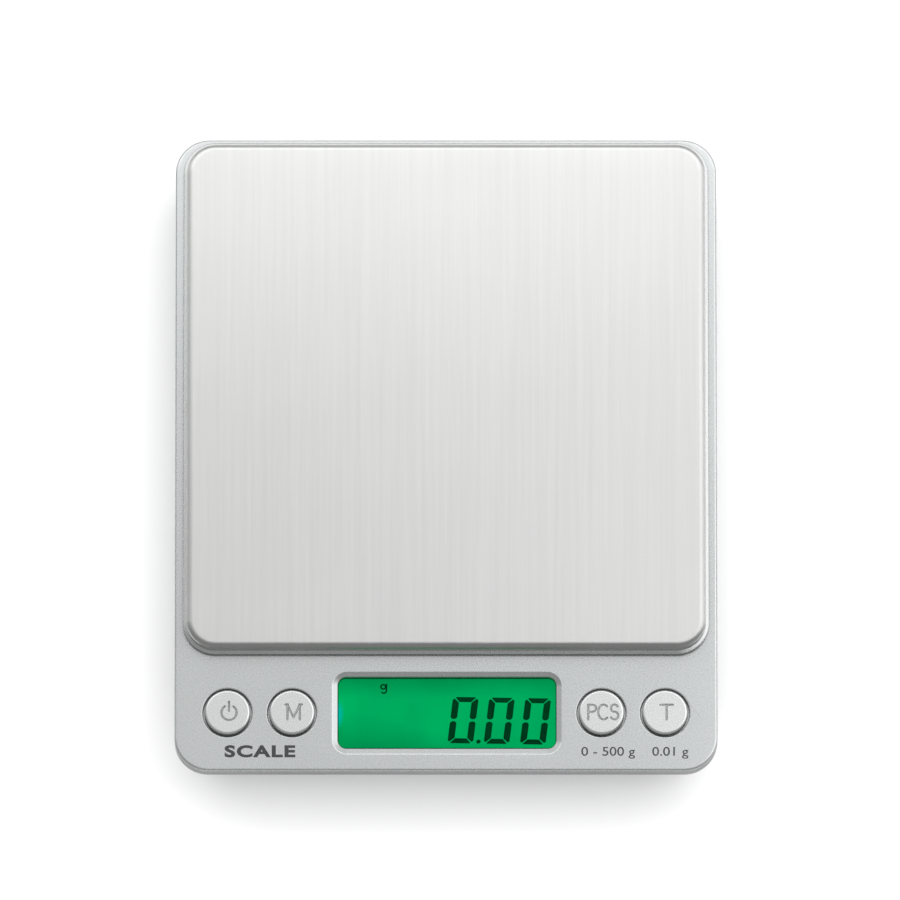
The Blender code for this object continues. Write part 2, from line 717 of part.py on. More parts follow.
def draw_support(bm):
    """The plastic plate under the pan, with the lip that shows round it, hollow below."""
    skin(
        bm,
        [
            platform_ring(SUPPORT_HOLLOW_INSET, SUPPORT_PLATE_BOTTOM),
            platform_ring(SUPPORT_HOLLOW_INSET - SUPPORT_EDGE, LIP_BOTTOM + SUPPORT_EDGE),
            platform_ring(LIP_INNER_INSET, LIP_BOTTOM),
            platform_ring(-LIP_GROWTH + SOFT_EDGE, LIP_BOTTOM),
            platform_ring(-LIP_GROWTH, LIP_BOTTOM + SOFT_EDGE),
            platform_ring(-LIP_GROWTH, LIP_TOP - SOFT_EDGE),
            platform_ring(-LIP_GROWTH + SOFT_EDGE, LIP_TOP),
            platform_ring(SUPPORT_INSET, LIP_TOP),
            platform_ring(SUPPORT_INSET, SUPPORT_TOP - SUPPORT_EDGE),
            platform_ring(SUPPORT_INSET + SUPPORT_EDGE, SUPPORT_TOP),
        ],
    )


def draw_support_boss(bm):
    """The thick pad that the load cell's free end carries."""
    half = BEAM_HALF_WIDTH + SUPPORT_BOSS_MARGIN
    outline = Box(LOAD_END[0], PLATFORM_Y - half, LOAD_END[1], PLATFORM_Y + half)
    block(bm, outline, LIP_BOTTOM, (SUPPORT_PLATE_BOTTOM + SUPPORT_TOP) / 2)


def draw_support_holes(bm):
    """Screw holes with counterbores, and the shallow bed of the tape that holds the pan."""
    profile = (
        (BEAM_HOLE_RADIUS, LIP_BOTTOM - OVERCUT),
        (BEAM_HOLE_RADIUS, PLATFORM_SEAT_TOP),
        (PLATFORM_SEAT_RADIUS, PLATFORM_SEAT_TOP),
        (PLATFORM_SEAT_RADIUS, SUPPORT_TOP + OVERCUT),
    )
    for x in BEAM_SCREW_X:
        turned(bm, profile, (x, PLATFORM_Y, 0), SMALL_ROUND_STEPS)
    bed = [half + CLEAR for half in TAPE_HALF]
    centre = (TAPE_CENTRE_X, PLATFORM_Y)
    plate(bm, centre, bed, TAPE_CORNER, SUPPORT_TOP - TAPE_BED_DEPTH, SUPPORT_TOP + OVERCUT)


def make_platform(materials):
    platform = joint_origin("platform_joint", 0, PLATFORM_Y, PAN_TOP)
    pan = shaped("steel_pan", draw_pan, materials["steel"])
    hang(pan, platform)
    support = shaped("platform_support", draw_support, materials["silver"])
    boolean(support, "support_boss", draw_support_boss, "UNION", materials["silver"])
    boolean(support, "support_holes", draw_support_holes, "DIFFERENCE", materials["silver"])
    hang(support, platform)

    def draw_spacer(bm):
        block(bm, beam_box(*LOAD_END), BEAM_TOP + CLEAR, LIP_BOTTOM - CLEAR)

    def draw_spacer_holes(bm):
        for x in BEAM_SCREW_X:
            rod(bm, x, PLATFORM_Y, BEAM_HOLE_RADIUS, BEAM_TOP - OVERCUT, LIP_BOTTOM + OVERCUT)

    spacer = shaped("platform_spacer", draw_spacer, materials["alloy"])
    boolean(spacer, "platform_spacer_holes", draw_spacer_holes, "DIFFERENCE", materials["alloy"])
    hang(spacer, platform)

    def draw_tape(bm):
        bottom = SUPPORT_TOP - TAPE_BED_DEPTH / 2
        centre = (TAPE_CENTRE_X, PLATFORM_Y)
        plate(bm, centre, TAPE_HALF, TAPE_CORNER, bottom, bottom + TAPE_THICKNESS)

    hang(shaped("pan_tape", draw_tape, materials["tape"]), platform)
    for number, x in enumerate(BEAM_SCREW_X, 1):

        def draw_screw(bm, x=x):
            turned(bm, PLATFORM_SCREW_PROFILE, (x, PLATFORM_Y, 0), SCREW_STEPS)

        hang(shaped(f"platform_screw_{number}", draw_screw, materials["screw"]), platform)


# ---------------------------------------------------------------- buttons


def draw_button(bm):
    """A round cap with a softened edge, a flange that keeps it in, and a stub that presses."""
    profile = (
        (BUTTON_STUB_RADIUS, BUTTON_STUB_BOTTOM),
        (BUTTON_STUB_RADIUS, BUTTON_FLANGE_BOTTOM),
        (BUTTON_FLANGE_RADIUS, BUTTON_FLANGE_BOTTOM),
        (BUTTON_FLANGE_RADIUS, CEILING - CLEAR),
        (BUTTON_RADIUS, CEILING - CLEAR),
        (BUTTON_RADIUS, BUTTON_TOP - BUTTON_EDGE),
        (BUTTON_RADIUS - BUTTON_EDGE / 3, BUTTON_TOP - BUTTON_EDGE / 3),
        (BUTTON_RADIUS - BUTTON_EDGE, BUTTON_TOP),
    )
    turned(bm, profile)


def draw_plunger(bm):
    profile = (
        (PLUNGER_RADIUS, PLUNGER_BOTTOM),
        (PLUNGER_RADIUS, PLUNGER_TOP - PLUNGER_EDGE),
        (PLUNGER_RADIUS - PLUNGER_EDGE, PLUNGER_TOP),
    )
    turned(bm, profile, steps=SMALL_ROUND_STEPS)


def draw_switch(bm):
    block(bm, Box(-SWITCH_HALF, -SWITCH_HALF, SWITCH_HALF, SWITCH_HALF), SWITCH_BOTTOM, SWITCH_TOP)


def draw_switch_bore(bm):
    rod(bm, 0, 0, SWITCH_BORE_RADIUS, SWITCH_BORE_BOTTOM, SWITCH_TOP + OVERCUT)


def make_buttons(materials):
    for name, x in BUTTON_PLACES.items():
        place = joint_origin(f"button_{name}_joint", x, BUTTON_Y)
        shaped(f"button_{name}", draw_button, materials["button"]).parent = place
        shaped(f"plunger_{name}", draw_plunger, materials["black"]).parent = place
        switch = shaped(f"switch_{name}", draw_switch, materials["tin"])
        switch.location = place.location
        boolean(switch, f"switch_bore_{name}", draw_switch_bore, "DIFFERENCE", materials["tin"])
        switch.modifiers[0].object.location = place.location


# ---------------------------------------------------------------- display and board


def draw_board(bm):
    place = (0, (BOARD_FRONT + BOARD_BACK) / 2)
    half_y = (BOARD_BACK - BOARD_FRONT) / 2
    plate(bm, place, (BOARD_HALF_X, half_y), BOARD_CORNER, BOARD_BOTTOM, BOARD_TOP)


def draw_board_holes(bm):
    for x, y in BOARD_SCREW_PLACES:
        rod(bm, x, y, BOARD_HOLE_RADIUS, BOARD_BOTTOM - OVERCUT, BOARD_TOP + OVERCUT)


def make_display(materials):
    board = shaped("circuit_board", draw_board, materials["board"])
    boolean(board, "board_holes", draw_board_holes, "DIFFERENCE", materials["board"])

    def draw_window(bm):
        plate(bm, (DISPLAY_X, DISPLAY_Y), WINDOW_HALF, WINDOW_CORNER, WINDOW_BOTTOM, WINDOW_TOP)

    def draw_glass(bm):
        block(bm, GLASS, GLASS_BOTTOM, GLASS_TOP)

    def draw_frame(bm):
        bottom, top = STACK_BOTTOM, GLASS_BOTTOM - CLEAR
        outer, inner = BACKLIGHT_OUTER_HALF, BACKLIGHT_INNER_HALF
        place = (DISPLAY_X, BACKLIGHT_Y)
        corners = ((outer, bottom), (outer, top), (inner, top), (inner, bottom))
        rings = [rounded_ring(place, *half, BACKLIGHT_CORNER, z, SMALL_CORNER_STEPS) for half, z in corners]
        skin(bm, rings, closed=True)

    def draw_diffuser(bm):
        block(bm, DIFFUSER, STACK_BOTTOM + CLEAR, DIFFUSER_TOP)

    def draw_led(bm):
        block(bm, LED, STACK_BOTTOM + CLEAR, LED_TOP)

    def draw_zebra(bm):
        block(bm, ZEBRA, STACK_BOTTOM, GLASS_BOTTOM - CLEAR)

    def draw_chip(bm):
        profile = [(radius, BOARD_BOTTOM - CLEAR + height) for radius, height in CHIP_PROFILE]
        turned(bm, profile, CHIP_PLACE, SMALL_ROUND_STEPS)

    shaped("display_window", draw_window, materials["clear"])
    shaped("lcd_glass", draw_glass, materials["glass"])
    shaped("backlight_frame", draw_frame, materials["white"])
    shaped("backlight_diffuser", draw_diffuser, materials["white"])
    shaped("backlight_led", draw_led, materials["white"])
    shaped("zebra_connector", draw_zebra, materials["ribbon"])
    shaped("chip_cap", draw_chip, materials["black"])


# ---------------------------------------------------------------- batteries and wiring


def spring_path(y, wide_end, narrow_end):
    """A conical spring along X, from its wide turn at the plate to its narrow one at the cell."""
    count = SPRING_TURNS * SPRING_TURN_STEPS
    path = []
    for step in range(count + 1):
        share = step / count
        angle = 2 * math.pi * SPRING_TURNS * share
        radius = SPRING_WIDE_RADIUS + (SPRING_NARROW_RADIUS - SPRING_WIDE_RADIUS) * share
        along = wide_end + (narrow_end - wide_end) * share
        path.append((along, y + radius * math.cos(angle), CELL_Z + radius * math.sin(angle)))
    return path


def make_cells(materials):
    """Two cells end for end, each pressed against a plate by the spring at its flat end."""
    nub_tip = CONTACT_INNER_X - CLEAR
    for number, (y, side) in enumerate(zip(CELL_YS, (1, -1)), 1):
        flat_end = side * (nub_tip - CELL_LENGTH)
        shoulder = side * (nub_tip - CELL_NUB_LENGTH)

        def draw_cell(bm, y=y, side=side, flat_end=flat_end, shoulder=shoulder):
            profile = (
                (CELL_RADIUS - CELL_EDGE, flat_end),
                (CELL_RADIUS, flat_end + side * CELL_EDGE),
                (CELL_RADIUS, shoulder - side * CELL_EDGE),
                (CELL_RADIUS - CELL_EDGE, shoulder),
                (CELL_NUB_RADIUS, shoulder),
                (CELL_NUB_RADIUS, side * nub_tip),
            )
            turned(bm, profile, (0, y, CELL_Z), CELL_STEPS, along="X")

        shaped(f"battery_{number}", draw_cell, materials["cell"])
        reach = CLEAR + SPRING_WIRE_RADIUS
        path = spring_path(y, -side * (CONTACT_INNER_X - reach), flat_end - side * reach)
        wire(f"battery_spring_{number}", path, SPRING_WIRE_RADIUS, materials["tin"], 1)


def make_contacts(materials):
    """The plates at the cells' ends: one joins the cells at the left, two feed the leads."""
    half, thickness = CONTACT_HALF_WIDTH, CONTACT_THICKNESS
    front_y, back_y = CELL_YS
    left, right = -CONTACT_INNER_X - thickness, CONTACT_INNER_X
    sheets = {
        "contact_link": Box(left, front_y - half, left + thickness, back_y + half),
        "contact_positive": Box(right, front_y - half, right + thickness, front_y + half),
        "contact_negative": Box(right, back_y - half, right + thickness, back_y + half),
    }
    for name, outline in sheets.items():

        def draw_sheet(bm, outline=outline):
            block(bm, outline, CONTACT_BOTTOM, CONTACT_TOP)

        shaped(name, draw_sheet, materials["tin"])


def lead_points(cell_y, long_x, end_x):
    """A lead's way: out of the bay, down to the floor, forward along it and up to the board."""
    start_x = CONTACT_INNER_X + CONTACT_THICKNESS + CLEAR
    return (
        (start_x, cell_y, CELL_Z),
        (long_x - 2.6, cell_y, CELL_Z),
        (long_x, cell_y - 3.0, CELL_Z - 0.6),
        (long_x, 20.0, 4.8),
        (long_x, -5.0, 4.2),
        (long_x, -26.0, 5.2),
        (end_x + 0.6, -36.0, 9.8),
        (end_x, -41.5, 9.7),
    )


def draw_cable(bm):
    """The load cell's flat cable, which sags between its coating and the board."""
    lower = []
    for step in range(CABLE_STEPS + 1):
        share = step / CABLE_STEPS
        y, z = (start + (end - start) * share for start, end in zip(CABLE_START, CABLE_END))
        sag = CABLE_SAG * math.sin(math.pi * share) ** 2
        lower.append((y, z - sag - CABLE_THICKNESS / 2))
    upper = [(y, z + CABLE_THICKNESS) for y, z in reversed(lower)]
    extruded_x(bm, lower + upper, -CABLE_HALF_WIDTH, CABLE_HALF_WIDTH)


def make_leads(materials):
    """The battery leads, from the bay's right end to the board, and the load cell's flat cable."""
    colours = {"battery_lead_red": materials["red"], "battery_lead_black": materials["black"]}
    for name, route in LEAD_ROUTES.items():
        path = smooth_path(lead_points(*route), LEAD_SPACING)
        wire(name, path, LEAD_RADIUS, colours[name], 2)
    shaped("load_cell_cable", draw_cable, materials["ribbon"])


def make_battery_door(materials):
    """A flat cover whose rear edge turns up and follows the base's outer wall."""
    joint = joint_origin("battery_door_joint", 0, (DOOR_FRONT + CASE_HALF_Y) / 2, CASE_BOTTOM)

    def draw_door(bm):
        lip_back = CASE_HALF_Y - wall_inset(DOOR_LIP_TOP)
        knee_back = CASE_HALF_Y - KNEE_INSET
        outline = (
            (DOOR_FRONT, CASE_BOTTOM),
            (CASE_HALF_Y - LOWEST_INSET, CASE_BOTTOM),
            (CASE_HALF_Y - LOW_EDGE_INSET, LOW_EDGE_HEIGHT),
            (knee_back, KNEE_HEIGHT),
            (lip_back, DOOR_LIP_TOP),
            (lip_back - DOOR_LIP_THICKNESS, DOOR_LIP_TOP),
            (lip_back - DOOR_LIP_THICKNESS - DOOR_LIP_FILLET, DOOR_TOP),
            (DOOR_FRONT, DOOR_TOP),
        )
        extruded_x(bm, outline, -DOOR_HALF_X, DOOR_HALF_X)

    hang(shaped("battery_door", draw_door, materials["silver"]), joint)


def clear_scene():
    for obj in list(bpy.data.objects):
        bpy.data.objects.remove(obj, do_unlink=True)


def main():
    clear_scene()
    materials = make_materials()
    make_base(materials)
    make_top_shell(materials)
    make_feet(materials)
    make_all_screws(materials)
    make_load_cell(materials)
    make_platform(materials)
    make_buttons(materials)
    make_display(materials)
    make_cells(materials)
    make_contacts(materials)
    make_leads(materials)
    make_battery_door(materials)


main()
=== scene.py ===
"""Looks of a digital gram scale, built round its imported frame.

Shapes are worked out in millimetres, and MM turns them into metres when a mesh is made; the camera and
the lights are in metres. Places come from the boxes of the frame's nodes. +Z is up and the display is
at the front (-Y)."""

import math

import bmesh
import bpy
from mathutils import Matrix, Vector


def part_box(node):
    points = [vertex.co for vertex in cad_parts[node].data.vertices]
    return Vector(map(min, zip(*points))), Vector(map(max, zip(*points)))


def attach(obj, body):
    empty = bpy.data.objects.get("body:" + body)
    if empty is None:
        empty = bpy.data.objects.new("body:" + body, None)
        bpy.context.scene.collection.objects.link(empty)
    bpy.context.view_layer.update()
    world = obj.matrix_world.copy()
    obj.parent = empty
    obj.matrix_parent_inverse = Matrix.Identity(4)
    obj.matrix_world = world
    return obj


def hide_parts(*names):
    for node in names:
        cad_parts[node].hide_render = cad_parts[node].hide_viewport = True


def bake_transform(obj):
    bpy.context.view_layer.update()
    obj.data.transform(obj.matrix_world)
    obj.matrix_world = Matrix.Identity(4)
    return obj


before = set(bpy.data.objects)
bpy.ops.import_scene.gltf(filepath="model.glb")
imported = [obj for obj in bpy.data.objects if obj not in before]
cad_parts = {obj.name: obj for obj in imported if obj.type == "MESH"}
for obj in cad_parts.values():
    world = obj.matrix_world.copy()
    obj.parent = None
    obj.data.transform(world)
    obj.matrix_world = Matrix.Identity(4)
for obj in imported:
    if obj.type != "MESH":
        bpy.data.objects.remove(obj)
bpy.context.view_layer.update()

MM = 0.001
SHARP_ANGLE = math.radians(38)
CORNER_STEPS = 16
EDGE_STEPS = 5
ROUND_STEPS = 72
SMALL_STEPS = 28
OVERCUT = 0.6

# Camera and view, in metres
VIEW_TILT = math.radians(13.7)
CAMERA_DISTANCE = 5.0
VIEW_WIDTH = 0.1761
AIM = Vector((0.78, 0.88, 15.4)) * MM

# Room: a pale surround, brighter behind and to the right of the scale
ROOM_BRIGHT_SIDE = Vector((0.35, 1.0, 0.0))
ROOM_SIDE_RANGE = (-0.35, 0.35)
ROOM_HORIZON_RANGE = (-0.1, 0.25)
ROOM_DARK = 0.3
ROOM_BRIGHT = 0.9
FLOOR_NEAR = 120.0
FLOOR_FAR = 40000.0
FLOOR_GREY = 0.81
LIGHTS = {  # place, what it faces and size in metres, watts, and whether reflections show it
    "softbox_back": ((-0.05, 0.38, 0.46), (-0.05, 0.38, 0.0), (1.2, 0.44), 1.9, True),
    "softbox_right": ((0.3, 0.0, 0.45), (0.3, 0.0, 0.0), (0.4, 0.3), 0.46, True),
    "side_panel": ((0.62, 0.16, 0.36), (0.0, 0.0, 0.02), (0.5, 0.24), 0.28, True),
    "front_fill": ((-0.1, -0.8, 0.7), (0.0, 0.0, 0.0), (0.6, 0.6), 2.6, False),
    "ceiling": ((-0.1, -0.2, 1.0), (-0.1, -0.2, 0.0), (9.0, 9.0), 165.0, False),
}

# Case
CASE_CORNER = 6.6
CORNER_SHRINK = 0.45
CASE_WALL = 1.5
CASE_TOP_EDGE = 0.45
SKIRT_DEPTH = 3.7
SKIRT_EDGE = 0.2
LOAD_HOLE_MARGIN = 1.5
POSTS = {"case": (2.7, 1.3), "board": (1.9, 1.05)}
POST_SPARE = 0.4
GAP = 0.3

# Display opening
RECESS_OUTER_HALF = Vector((22.36, 8.21))
RECESS_INNER_HALF = Vector((21.34, 7.2))
RECESS_OUTER_SHIFT = Vector((-0.02, 0.11))
RECESS_INNER_SHIFT = Vector((0.0, 0.31))
RECESS_OUTER_CORNER = 2.9
RECESS_INNER_CORNER = 1.75
RECESS_DEPTH = 0.62
# The rim's section, from its outer edge to its foot: share of the way in, and share of the depth
RECESS_SLOPE = (
    (-0.12, 0.0), (-0.03, 0.025), (0.05, 0.08), (0.12, 0.16),
    (0.90, 0.90), (0.97, 0.98), (1.0, 1.08), (1.0, 1.2),
)

# Buttons
BUTTONS = ("power", "mode", "pieces", "tare")
FLANGE_THICKNESS = 0.9
FLANGE_EDGE = 0.1
STUB_RADIUS = 1.3
BUTTON_HOLE_RADIUS = 4.8
BUTTON_HOLE_EDGE = 0.28
CAP_RADIUS = 4.42
CAP_EDGE = 0.46
LEGEND_DEPTH = 0.4
LEGEND_STROKE = 0.46
LEGEND_FOOT = 0.03
LEGEND_SHIFT = 0.3

# Weighing platform
PAN_CORNER = 5.7
PAN_EDGE = 1.4
PAN_SHEET = 0.55
PAN_FOOT_EDGE = 0.12
LIP_EDGE = 0.18
LIP_FALL = 0.23
LIP_HEIGHT = 0.75
SUPPORT_PLATE = 1.2
SUPPORT_CORNER = 6.3
SUPPORT_HOLLOW = 2.6
SUPPORT_FOOT = [(2.25, 0.35), (1.1, 0.0)]
LIP_STEP = [(0.8, 0.0), (1.35, 0.0), (1.5, 0.15)]
SUPPORT_RIM = [(1.5, 0.35), (1.85, 0.0)]
PAD_CORNER = 0.4
TAPE_CORNER = 2.3
TAPE_BED = 0.4
SEAT_DEPTH = 1.3
SEAT_RADIUS = 2.9
SEAT_BORE = 1.8

# Display light: the lamp's colour and reach, and the shades along the back and front edges
BACKLIGHT = (0.0, 0.40, 0.105)
LAMP_COLOUR = (0.0, 0.46, 0.36, 1.0)
LAMP_SPREAD = (1.0, 0.42, 1.0)
BACK_SHADE_DEPTH = 3.6
FRONT_SHADE_LEAN = 0.25
GLOSS_POWER = 5.0


def box_mm(node):
    """Lowest and highest corner of a frame node, in millimetres."""
    low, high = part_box(node)
    return low / MM, high / MM


def centre_mm(node):
    low, high = box_mm(node)
    return (low + high) / 2


def numbered(stem, count):
    """The frame's names for a run of like pieces."""
    return [f"{stem}_{number}" for number in range(1, count + 1)]


def half_mm(node, margin=0.0):
    """Half of a node's length and width, with a margin on each side."""
    low, high = box_mm(node)
    return (high - low).xy / 2 + Vector((margin, margin))


CASE_HALF = box_mm("top_shell")[1].xy
CASE_TOP = box_mm("top_shell")[1].z
CASE_CEILING = CASE_TOP - CASE_WALL


# ---- outlines


def rounded_ring(centre, half, radius, z, steps=CORNER_STEPS):
    """Points round a rectangle with round corners, anticlockwise seen from above."""
    points = []
    for corner in range(4):
        side_x = (1, -1, -1, 1)[corner]
        side_y = (1, 1, -1, -1)[corner]
        for step in range(steps + 1):
            angle = (corner + step / steps) * math.pi / 2
            x = centre[0] + side_x * (half[0] - radius) + radius * math.cos(angle)
            y = centre[1] + side_y * (half[1] - radius) + radius * math.sin(angle)
            points.append((x, y, z))
    return points


def level_rings(centre, half, radius, heights, steps=6):
    """The same rounded rectangle at several heights."""
    return [rounded_ring(centre, half, radius, z, steps) for z in heights]


def arc_path(centre, radius, start, end, steps=14, squash=1.0):
    """Points along an arc, in degrees, anticlockwise from +X."""
    points = []
    for step in range(steps + 1):
        angle = math.radians(start + (end - start) * step / steps)
        points.append((centre[0] + radius * math.cos(angle), centre[1] + squash * radius * math.sin(angle)))
    return points


def circle(centre, radius, z, steps=SMALL_STEPS):
    return [(x, y, z) for x, y in arc_path(centre, radius, 0, 360, steps)[:-1]]


def edge_round(radius, steps=EDGE_STEPS):
    """(inset, drop) pairs round a quarter circle, from the side wall to the flat top."""
    pairs = []
    for step in range(steps + 1):
        angle = step / steps * math.pi / 2
        pairs.append((radius * (1 - math.cos(angle)), radius * (1 - math.sin(angle))))
    return pairs


# ---- mesh building


def skin(bm, rings, closed=False):
    """Walls between rings of as many points each, in order. Returns the rings' vertices."""
    loops = [[bm.verts.new(Vector(point) * MM) for point in ring] for ring in rings]
    following = loops[1:] + loops[:1] if closed else loops[1:]
    for first, second in zip(loops, following):
        for i in range(len(first)):
            j = (i + 1) % len(first)
            bm.faces.new((first[i], first[j], second[j], second[i]))
    return loops


def fill(bm, outer, holes=()):
    """A flat face inside the outer loop with the other loops as holes."""
    edges = []
    for ring in (outer, *holes):
        for a, b in zip(ring, ring[1:] + ring[:1]):
            edges.append(bm.edges.get((a, b)) or bm.edges.new((a, b)))
    bmesh.ops.triangle_fill(bm, use_beauty=True, use_dissolve=False, edges=edges)


def solid(bm, rings):
    """A closed skin over rings, capped at both ends."""
    loops = skin(bm, rings)
    bm.faces.new(loops[0])
    bm.faces.new(loops[-1])


def turned(bm, profile, centre=(0, 0), steps=ROUND_STEPS):
    """A solid of revolution about an upright axis, from (radius, height) points."""
    solid(bm, [circle(centre, radius, z, steps) for radius, z in profile])


def turned_at(bm, node, profile, steps=SMALL_STEPS):
    """A solid of revolution about a node's upright axis."""
    turned(bm, profile, centre_mm(node), steps)


def block(bm, low, high):
    corners = ((low[0], low[1]), (high[0], low[1]), (high[0], high[1]), (low[0], high[1]))
    solid(bm, [[(x, y, z) for x, y in corners] for z in (low[2], high[2])])


def add_flat(bm, outline, bottom, thickness):
    solid(bm, [[(point[0], point[1], z) for point in outline] for z in (bottom, bottom + thickness)])


def add_frame(bm, outer, inner, bottom, thickness):
    """A flat closed band between two outlines with the same number of points."""
    top = bottom + thickness
    levels = ((outer, bottom), (outer, top), (inner, top), (inner, bottom))
    skin(bm, [[(point[0], point[1], z) for point in outline] for outline, z in levels], closed=True)


def finished(name, bm, material, weighted=True):
    """The object from a bmesh: normals out, smooth with sharp creases, flat faces kept flat."""
    bmesh.ops.recalc_face_normals(bm, faces=bm.faces)
    mesh = bpy.data.meshes.new(name)
    bm.to_mesh(mesh)
    bm.free()
    mesh.materials.append(material)
    obj = bpy.data.objects.new(name, mesh)
    bpy.context.scene.collection.objects.link(obj)
    shade(obj, weighted)
    return obj


def shade(obj, weighted=True):
    obj.data.shade_smooth()
    obj.data.set_sharp_from_angle(angle=SHARP_ANGLE)
    if weighted:
        modifier = obj.modifiers.new("flat_faces", "WEIGHTED_NORMAL")
        modifier.mode = "FACE_AREA"
        modifier.weight = 100
        modifier.keep_sharp = True


def drawn(name, draw, material):
    bm = bmesh.new()
    draw(bm)
    return finished(name, bm, material)


def carve(obj, steps):
    """Adds or cuts helper shapes in turn, given as (operation, draw), and keeps only the result."""
    helpers = []
    obj.modifiers.clear()
    for number, (operation, draw) in enumerate(steps):
        helper = drawn(f"helper_{number}", draw, obj.data.materials[0])
        helper.modifiers.clear()
        helpers.append(helper)
        modifier = obj.modifiers.new(f"step_{number}", "BOOLEAN")
        modifier.object = helper
        modifier.operation = operation
        modifier.solver = "EXACT"
    bpy.context.view_layer.update()
    graph = bpy.context.evaluated_depsgraph_get()
    mesh = bpy.data.meshes.new_from_object(obj.evaluated_get(graph))
    obj.modifiers.clear()
    obj.data = mesh
    for helper in helpers:
        bpy.data.objects.remove(helper)
    shade(obj)
    return obj


def place(obj, body, slot, *nodes):
    """Rides on a body and stands for the named nodes; the slot is not used."""
    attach(obj, body)
    if nodes:
        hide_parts(*nodes)
    return obj


# ---- materials


def new_material(name):
    material = bpy.data.materials.new(name)
    material.use_nodes = True
    tree = material.node_tree
    return material, tree, tree.nodes["Principled BSDF"]


def connect(tree, node, inputs):
    """Sets a shader node's inputs: each is a number, a colour or another node's output socket."""
    for key, value in inputs.items():
        if isinstance(value, bpy.types.NodeSocket):
            tree.links.new(value, node.inputs[key])
        else:
            node.inputs[key].default_value = value


def add(tree, kind, inputs, **settings):
    node = tree.nodes.new(kind)
    for key, value in settings.items():
        setattr(node, key, value)
    connect(tree, node, inputs)
    return node


def combined(tree, operation, first, second, kind="Math"):
    """Two values through a Math node, or two vectors through a VectorMath node."""
    return add(tree, f"ShaderNode{kind}", {0: first, 1: second}, operation=operation).outputs[0]


def place_coords(tree, scale=(1, 1, 1)):
    """Object coordinates in millimetres, stretched by scale. They move with the piece."""
    coords = add(tree, "ShaderNodeTexCoord", {}).outputs["Object"]
    factors = tuple(s / MM for s in scale)
    return add(tree, "ShaderNodeMapping", {"Vector": coords, "Scale": factors}).outputs[0]


def noise(tree, vector, scale, detail=3.0, roughness=0.5):
    inputs = {"Vector": vector, "Scale": scale, "Detail": detail, "Roughness": roughness}
    return add(tree, "ShaderNodeTexNoise", inputs).outputs["Fac"]


def ranged(tree, value, low, high, start=0.3, end=0.7):
    """Maps a texture's value to a number between low and high."""
    inputs = {"Value": value, "From Min": start, "From Max": end, "To Min": low, "To Max": high}
    return add(tree, "ShaderNodeMapRange", inputs).outputs["Result"]


def smooth_ramp(tree, value, start, end):
    """A value eased from 0 to 1 between start and end."""
    inputs = {"Value": value, "From Min": start, "From Max": end}
    return add(tree, "ShaderNodeMapRange", inputs, interpolation_type="SMOOTHSTEP").outputs["Result"]


def tinted(tree, colour, *factors):
    """A colour multiplied by one or more values."""
    result = factors[0]
    for factor in factors[1:]:
        result = combined(tree, "MULTIPLY", result, factor)
    return add(tree, "ShaderNodeVectorMath", {0: colour, "Scale": result}, operation="SCALE").outputs[0]


def bumped(tree, height, distance, strength=0.4):
    """A normal from a height texture. Distance is in millimetres."""
    inputs = {"Height": height, "Distance": distance * MM, "Strength": strength}
    return add(tree, "ShaderNodeBump", inputs).outputs["Normal"]


def silver_paint(name, colour, flake=0.011):
    """Satin silver paint over moulded plastic: fine flake, a slight orange peel, faint clouding."""
    material, tree, shader = new_material(name)
    at = place_coords(tree)
    grains = noise(tree, at, 6.0, 2.0, 0.6)
    clouds = noise(tree, at, 0.05, 2.0)
    peel = noise(tree, at, 0.9, 2.0)
    speckled = ranged(tree, grains, 1 - flake, 1 + flake)
    base = tinted(tree, colour, speckled, ranged(tree, clouds, 0.985, 1.015))
    connect(tree, shader, {
        "Base Color": base,
        "Metallic": 0.85,
        "Specular Tint": (0.35, 0.35, 0.35, 1.0),
        "Roughness": ranged(tree, grains, 0.26, 0.28),
        "Normal": bumped(tree, combined(tree, "ADD", grains, peel), 0.0004),
    })
    return material


def brushed_steel(name, colour):
    """Sheet steel brushed along Y, with streaks of several lengths."""
    material, tree, shader = new_material(name)
    fine = noise(tree, place_coords(tree, (6.0, 0.05, 6.0)), 1.0, 3.0, 0.6)
    broad = noise(tree, place_coords(tree, (1.4, 0.02, 1.4)), 1.0, 2.0)
    clouds = noise(tree, place_coords(tree), 0.03, 2.0)
    streaks = ranged(tree, combined(tree, "ADD", fine, broad), 0.965, 1.035, 0.7, 1.3)
    across = add(tree, "ShaderNodeCombineXYZ", {"X": 1.0}).outputs[0]
    connect(tree, shader, {
        "Base Color": tinted(tree, colour, streaks, ranged(tree, clouds, 0.985, 1.015)),
        "Metallic": 1.0,
        "Roughness": ranged(tree, fine, 0.36, 0.43),
        "Anisotropic": 0.9,
        "Tangent": across,
        "Normal": bumped(tree, fine, 0.002),
    })
    return material


def plain_metal(name, colour, roughness, grain=2.0):
    """Machined or plated metal with fine tool marks."""
    material, tree, shader = new_material(name)
    marks = noise(tree, place_coords(tree), grain, 3.0, 0.6)
    connect(tree, shader, {
        "Base Color": tinted(tree, colour, ranged(tree, marks, 0.9, 1.08)),
        "Metallic": 1.0,
        "Roughness": ranged(tree, marks, roughness - 0.06, roughness + 0.08),
        "Normal": bumped(tree, marks, 0.006),
    })
    return material


def moulded(name, colour, roughness=0.5, grain=1.6, depth=0.01):
    """Moulded plastic or rubber with a fine texture."""
    material, tree, shader = new_material(name)
    at = place_coords(tree)
    texture = noise(tree, at, grain, 3.0)
    clouds = noise(tree, at, 0.08, 2.0)
    mottled = ranged(tree, texture, 0.93, 1.07)
    connect(tree, shader, {
        "Base Color": tinted(tree, colour, mottled, ranged(tree, clouds, 0.96, 1.04)),
        "Roughness": ranged(tree, texture, roughness - 0.05, roughness + 0.07),
        "Normal": bumped(tree, texture, depth, 0.5),
    })
    return material


